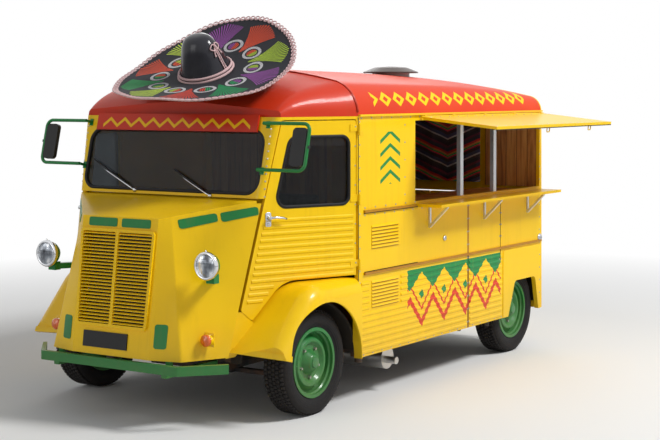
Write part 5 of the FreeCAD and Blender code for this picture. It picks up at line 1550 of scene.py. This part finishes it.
# The camera was fitted to the photo: place, viewing direction, lens in millimetres, picture shift
CAMERA_AT, CAMERA_AHEAD = (8.572, 6.086, 1.980), (-0.8508, -0.5235, -0.0454)
CAMERA_LENS, CAMERA_SHIFT = 79.9, (-0.12, -0.094)
WHITE = (1, 1, 1)


def aim(holder, place, ahead):
    """Put a camera or a lamp at a place and turn it to look ahead."""
    holder.location = place
    holder.rotation_euler = ahead.to_track_quat("-Z", "Y").to_euler()
    bpy.context.scene.collection.objects.link(holder)


class TRUCK_OT_stage(bpy.types.Operator):
    """Camera, soft lamps, pale floor and white surround"""

    bl_idname = "truck.stage"
    bl_label = "Set the stage"

    def execute(self, context):
        scene = context.scene
        stage = scene.truck_stage
        scene.view_settings.view_transform = "Standard"
        self.add_camera(scene)
        self.add_lamp("key_lamp", (-1.4, 7.9, 9.4), (0, 0.6, 0.9), 2.6, stage.key)
        self.add_lamp("front_lamp", (9.5, -2.0, 4.0), (1.2, 0, 1.0), 4.0, stage.fill)
        self.add_lamp("back_lamp", (-7.5, -5.0, 5.5), (0, 0, 1.0), 4.0, stage.fill)
        self.add_world(scene)
        self.add_floor(stage.floor)
        return {"FINISHED"}

    def add_camera(self, scene):
        camera = bpy.data.cameras.new("photo_camera")
        camera.sensor_width, camera.lens = 36, CAMERA_LENS
        camera.shift_x, camera.shift_y = CAMERA_SHIFT
        camera.clip_end = 200
        holder = bpy.data.objects.new("photo_camera", camera)
        aim(holder, CAMERA_AT, Vector(CAMERA_AHEAD))
        scene.camera = holder

    def add_lamp(self, name, place, target, width, watts):
        lamp = bpy.data.lights.new(name, "AREA")
        lamp.size, lamp.energy = width, watts
        aim(bpy.data.objects.new(name, lamp), place, Vector(target) - Vector(place))

    def add_world(self, scene):
        """White to the camera, in reflections and through glass; a softer light on the truck."""
        scene.world = bpy.data.worlds.new("studio")
        scene.world.use_nodes = True
        scene.world.node_tree.nodes.clear()
        graph = Graph(scene.world.node_tree)
        camera, glossy, through = (
            graph.add("LightPath", output=f"Is {kind} Ray") for kind in ("Camera", "Glossy", "Transmission")
        )
        seen = camera.math("MAXIMUM", glossy).math("MAXIMUM", through)
        soft = graph.add("Background", inputs={"Color": (0.95, 0.97, 1), "Strength": 0.3})
        white = graph.add("Background", inputs={"Color": WHITE, "Strength": 1.0})
        surround = graph.add("MixShader", inputs={0: seen, 1: soft, 2: white})
        graph.add("OutputWorld", inputs={"Surface": surround})

    def add_floor(self, tone):
        """Pale floor that fades to white for the camera, away from the truck."""
        reach = 45
        mesh = bpy.data.meshes.new("floor")
        corners = [(x * reach, y * reach, 0) for x, y in ((-1, -1), (1, -1), (1, 1), (-1, 1))]
        mesh.from_pydata(corners, [], [(0, 1, 2, 3)])
        shade = Shade("floor_paint")
        x, y, _ = shade.split()
        grain = shade.mix(shade.noise(40), tone, mixed(tone, (0.8, 0.8, 0.8), 0.2))
        near = shade.add("BsdfPrincipled", inputs={"Base Color": grain, "Roughness": 0.8})
        far = shade.add("Emission", inputs={"Color": WHITE, "Strength": 1.0})
        fade = ((distance(x, y) - 3.4) / 4.5).clamped() * shade.add("LightPath", output="Is Camera Ray")
        shade.close(shade.add("MixShader", inputs={0: fade, 1: near, 2: far}))
        mesh.materials.append(shade.material)
        floor = bpy.data.objects.new("floor", mesh)
        bpy.context.scene.collection.objects.link(floor)


class TRUCK_PT_panel(bpy.types.Panel):
    bl_label = "Food Truck"
    bl_idname = "TRUCK_PT_panel"
    bl_space_type = "VIEW_3D"
    bl_region_type = "UI"
    bl_category = "Food Truck"

    def draw(self, context):
        for key, group in GROUPS.items():
            for name in group.__annotations__:
                self.layout.prop(getattr(context.scene, key), name)
        for operator in OPERATORS:
            self.layout.operator(operator.bl_idname)


GROUPS = {"truck_colours": TruckColours, "truck_trim": TruckTrim, "truck_stage": TruckStage}
OPERATORS = [
    TRUCK_OT_stage, TRUCK_OT_paint, TRUCK_OT_seals, TRUCK_OT_lamps, TRUCK_OT_fittings, TRUCK_OT_seams,
    TRUCK_OT_screws, TRUCK_OT_hubs, TRUCK_OT_tyres, TRUCK_OT_hat, TRUCK_OT_cloth, TRUCK_OT_seats,
    TRUCK_OT_aprons,
]


def register():
    for cls in (*GROUPS.values(), *OPERATORS, TRUCK_PT_panel):
        bpy.utils.register_class(cls)
    for name, group in GROUPS.items():
        setattr(bpy.types.Scene, name, PointerProperty(type=group))


def unregister():
    for name in GROUPS:
        delattr(bpy.types.Scene, name)
    for cls in reversed((*GROUPS.values(), *OPERATORS, TRUCK_PT_panel)):
        bpy.utils.unregister_class(cls)


def main():
    register()
    for operator in OPERATORS:
        getattr(bpy.ops.truck, operator.bl_idname.split(".")[1])()


if __name__ == "__main__":
    main()
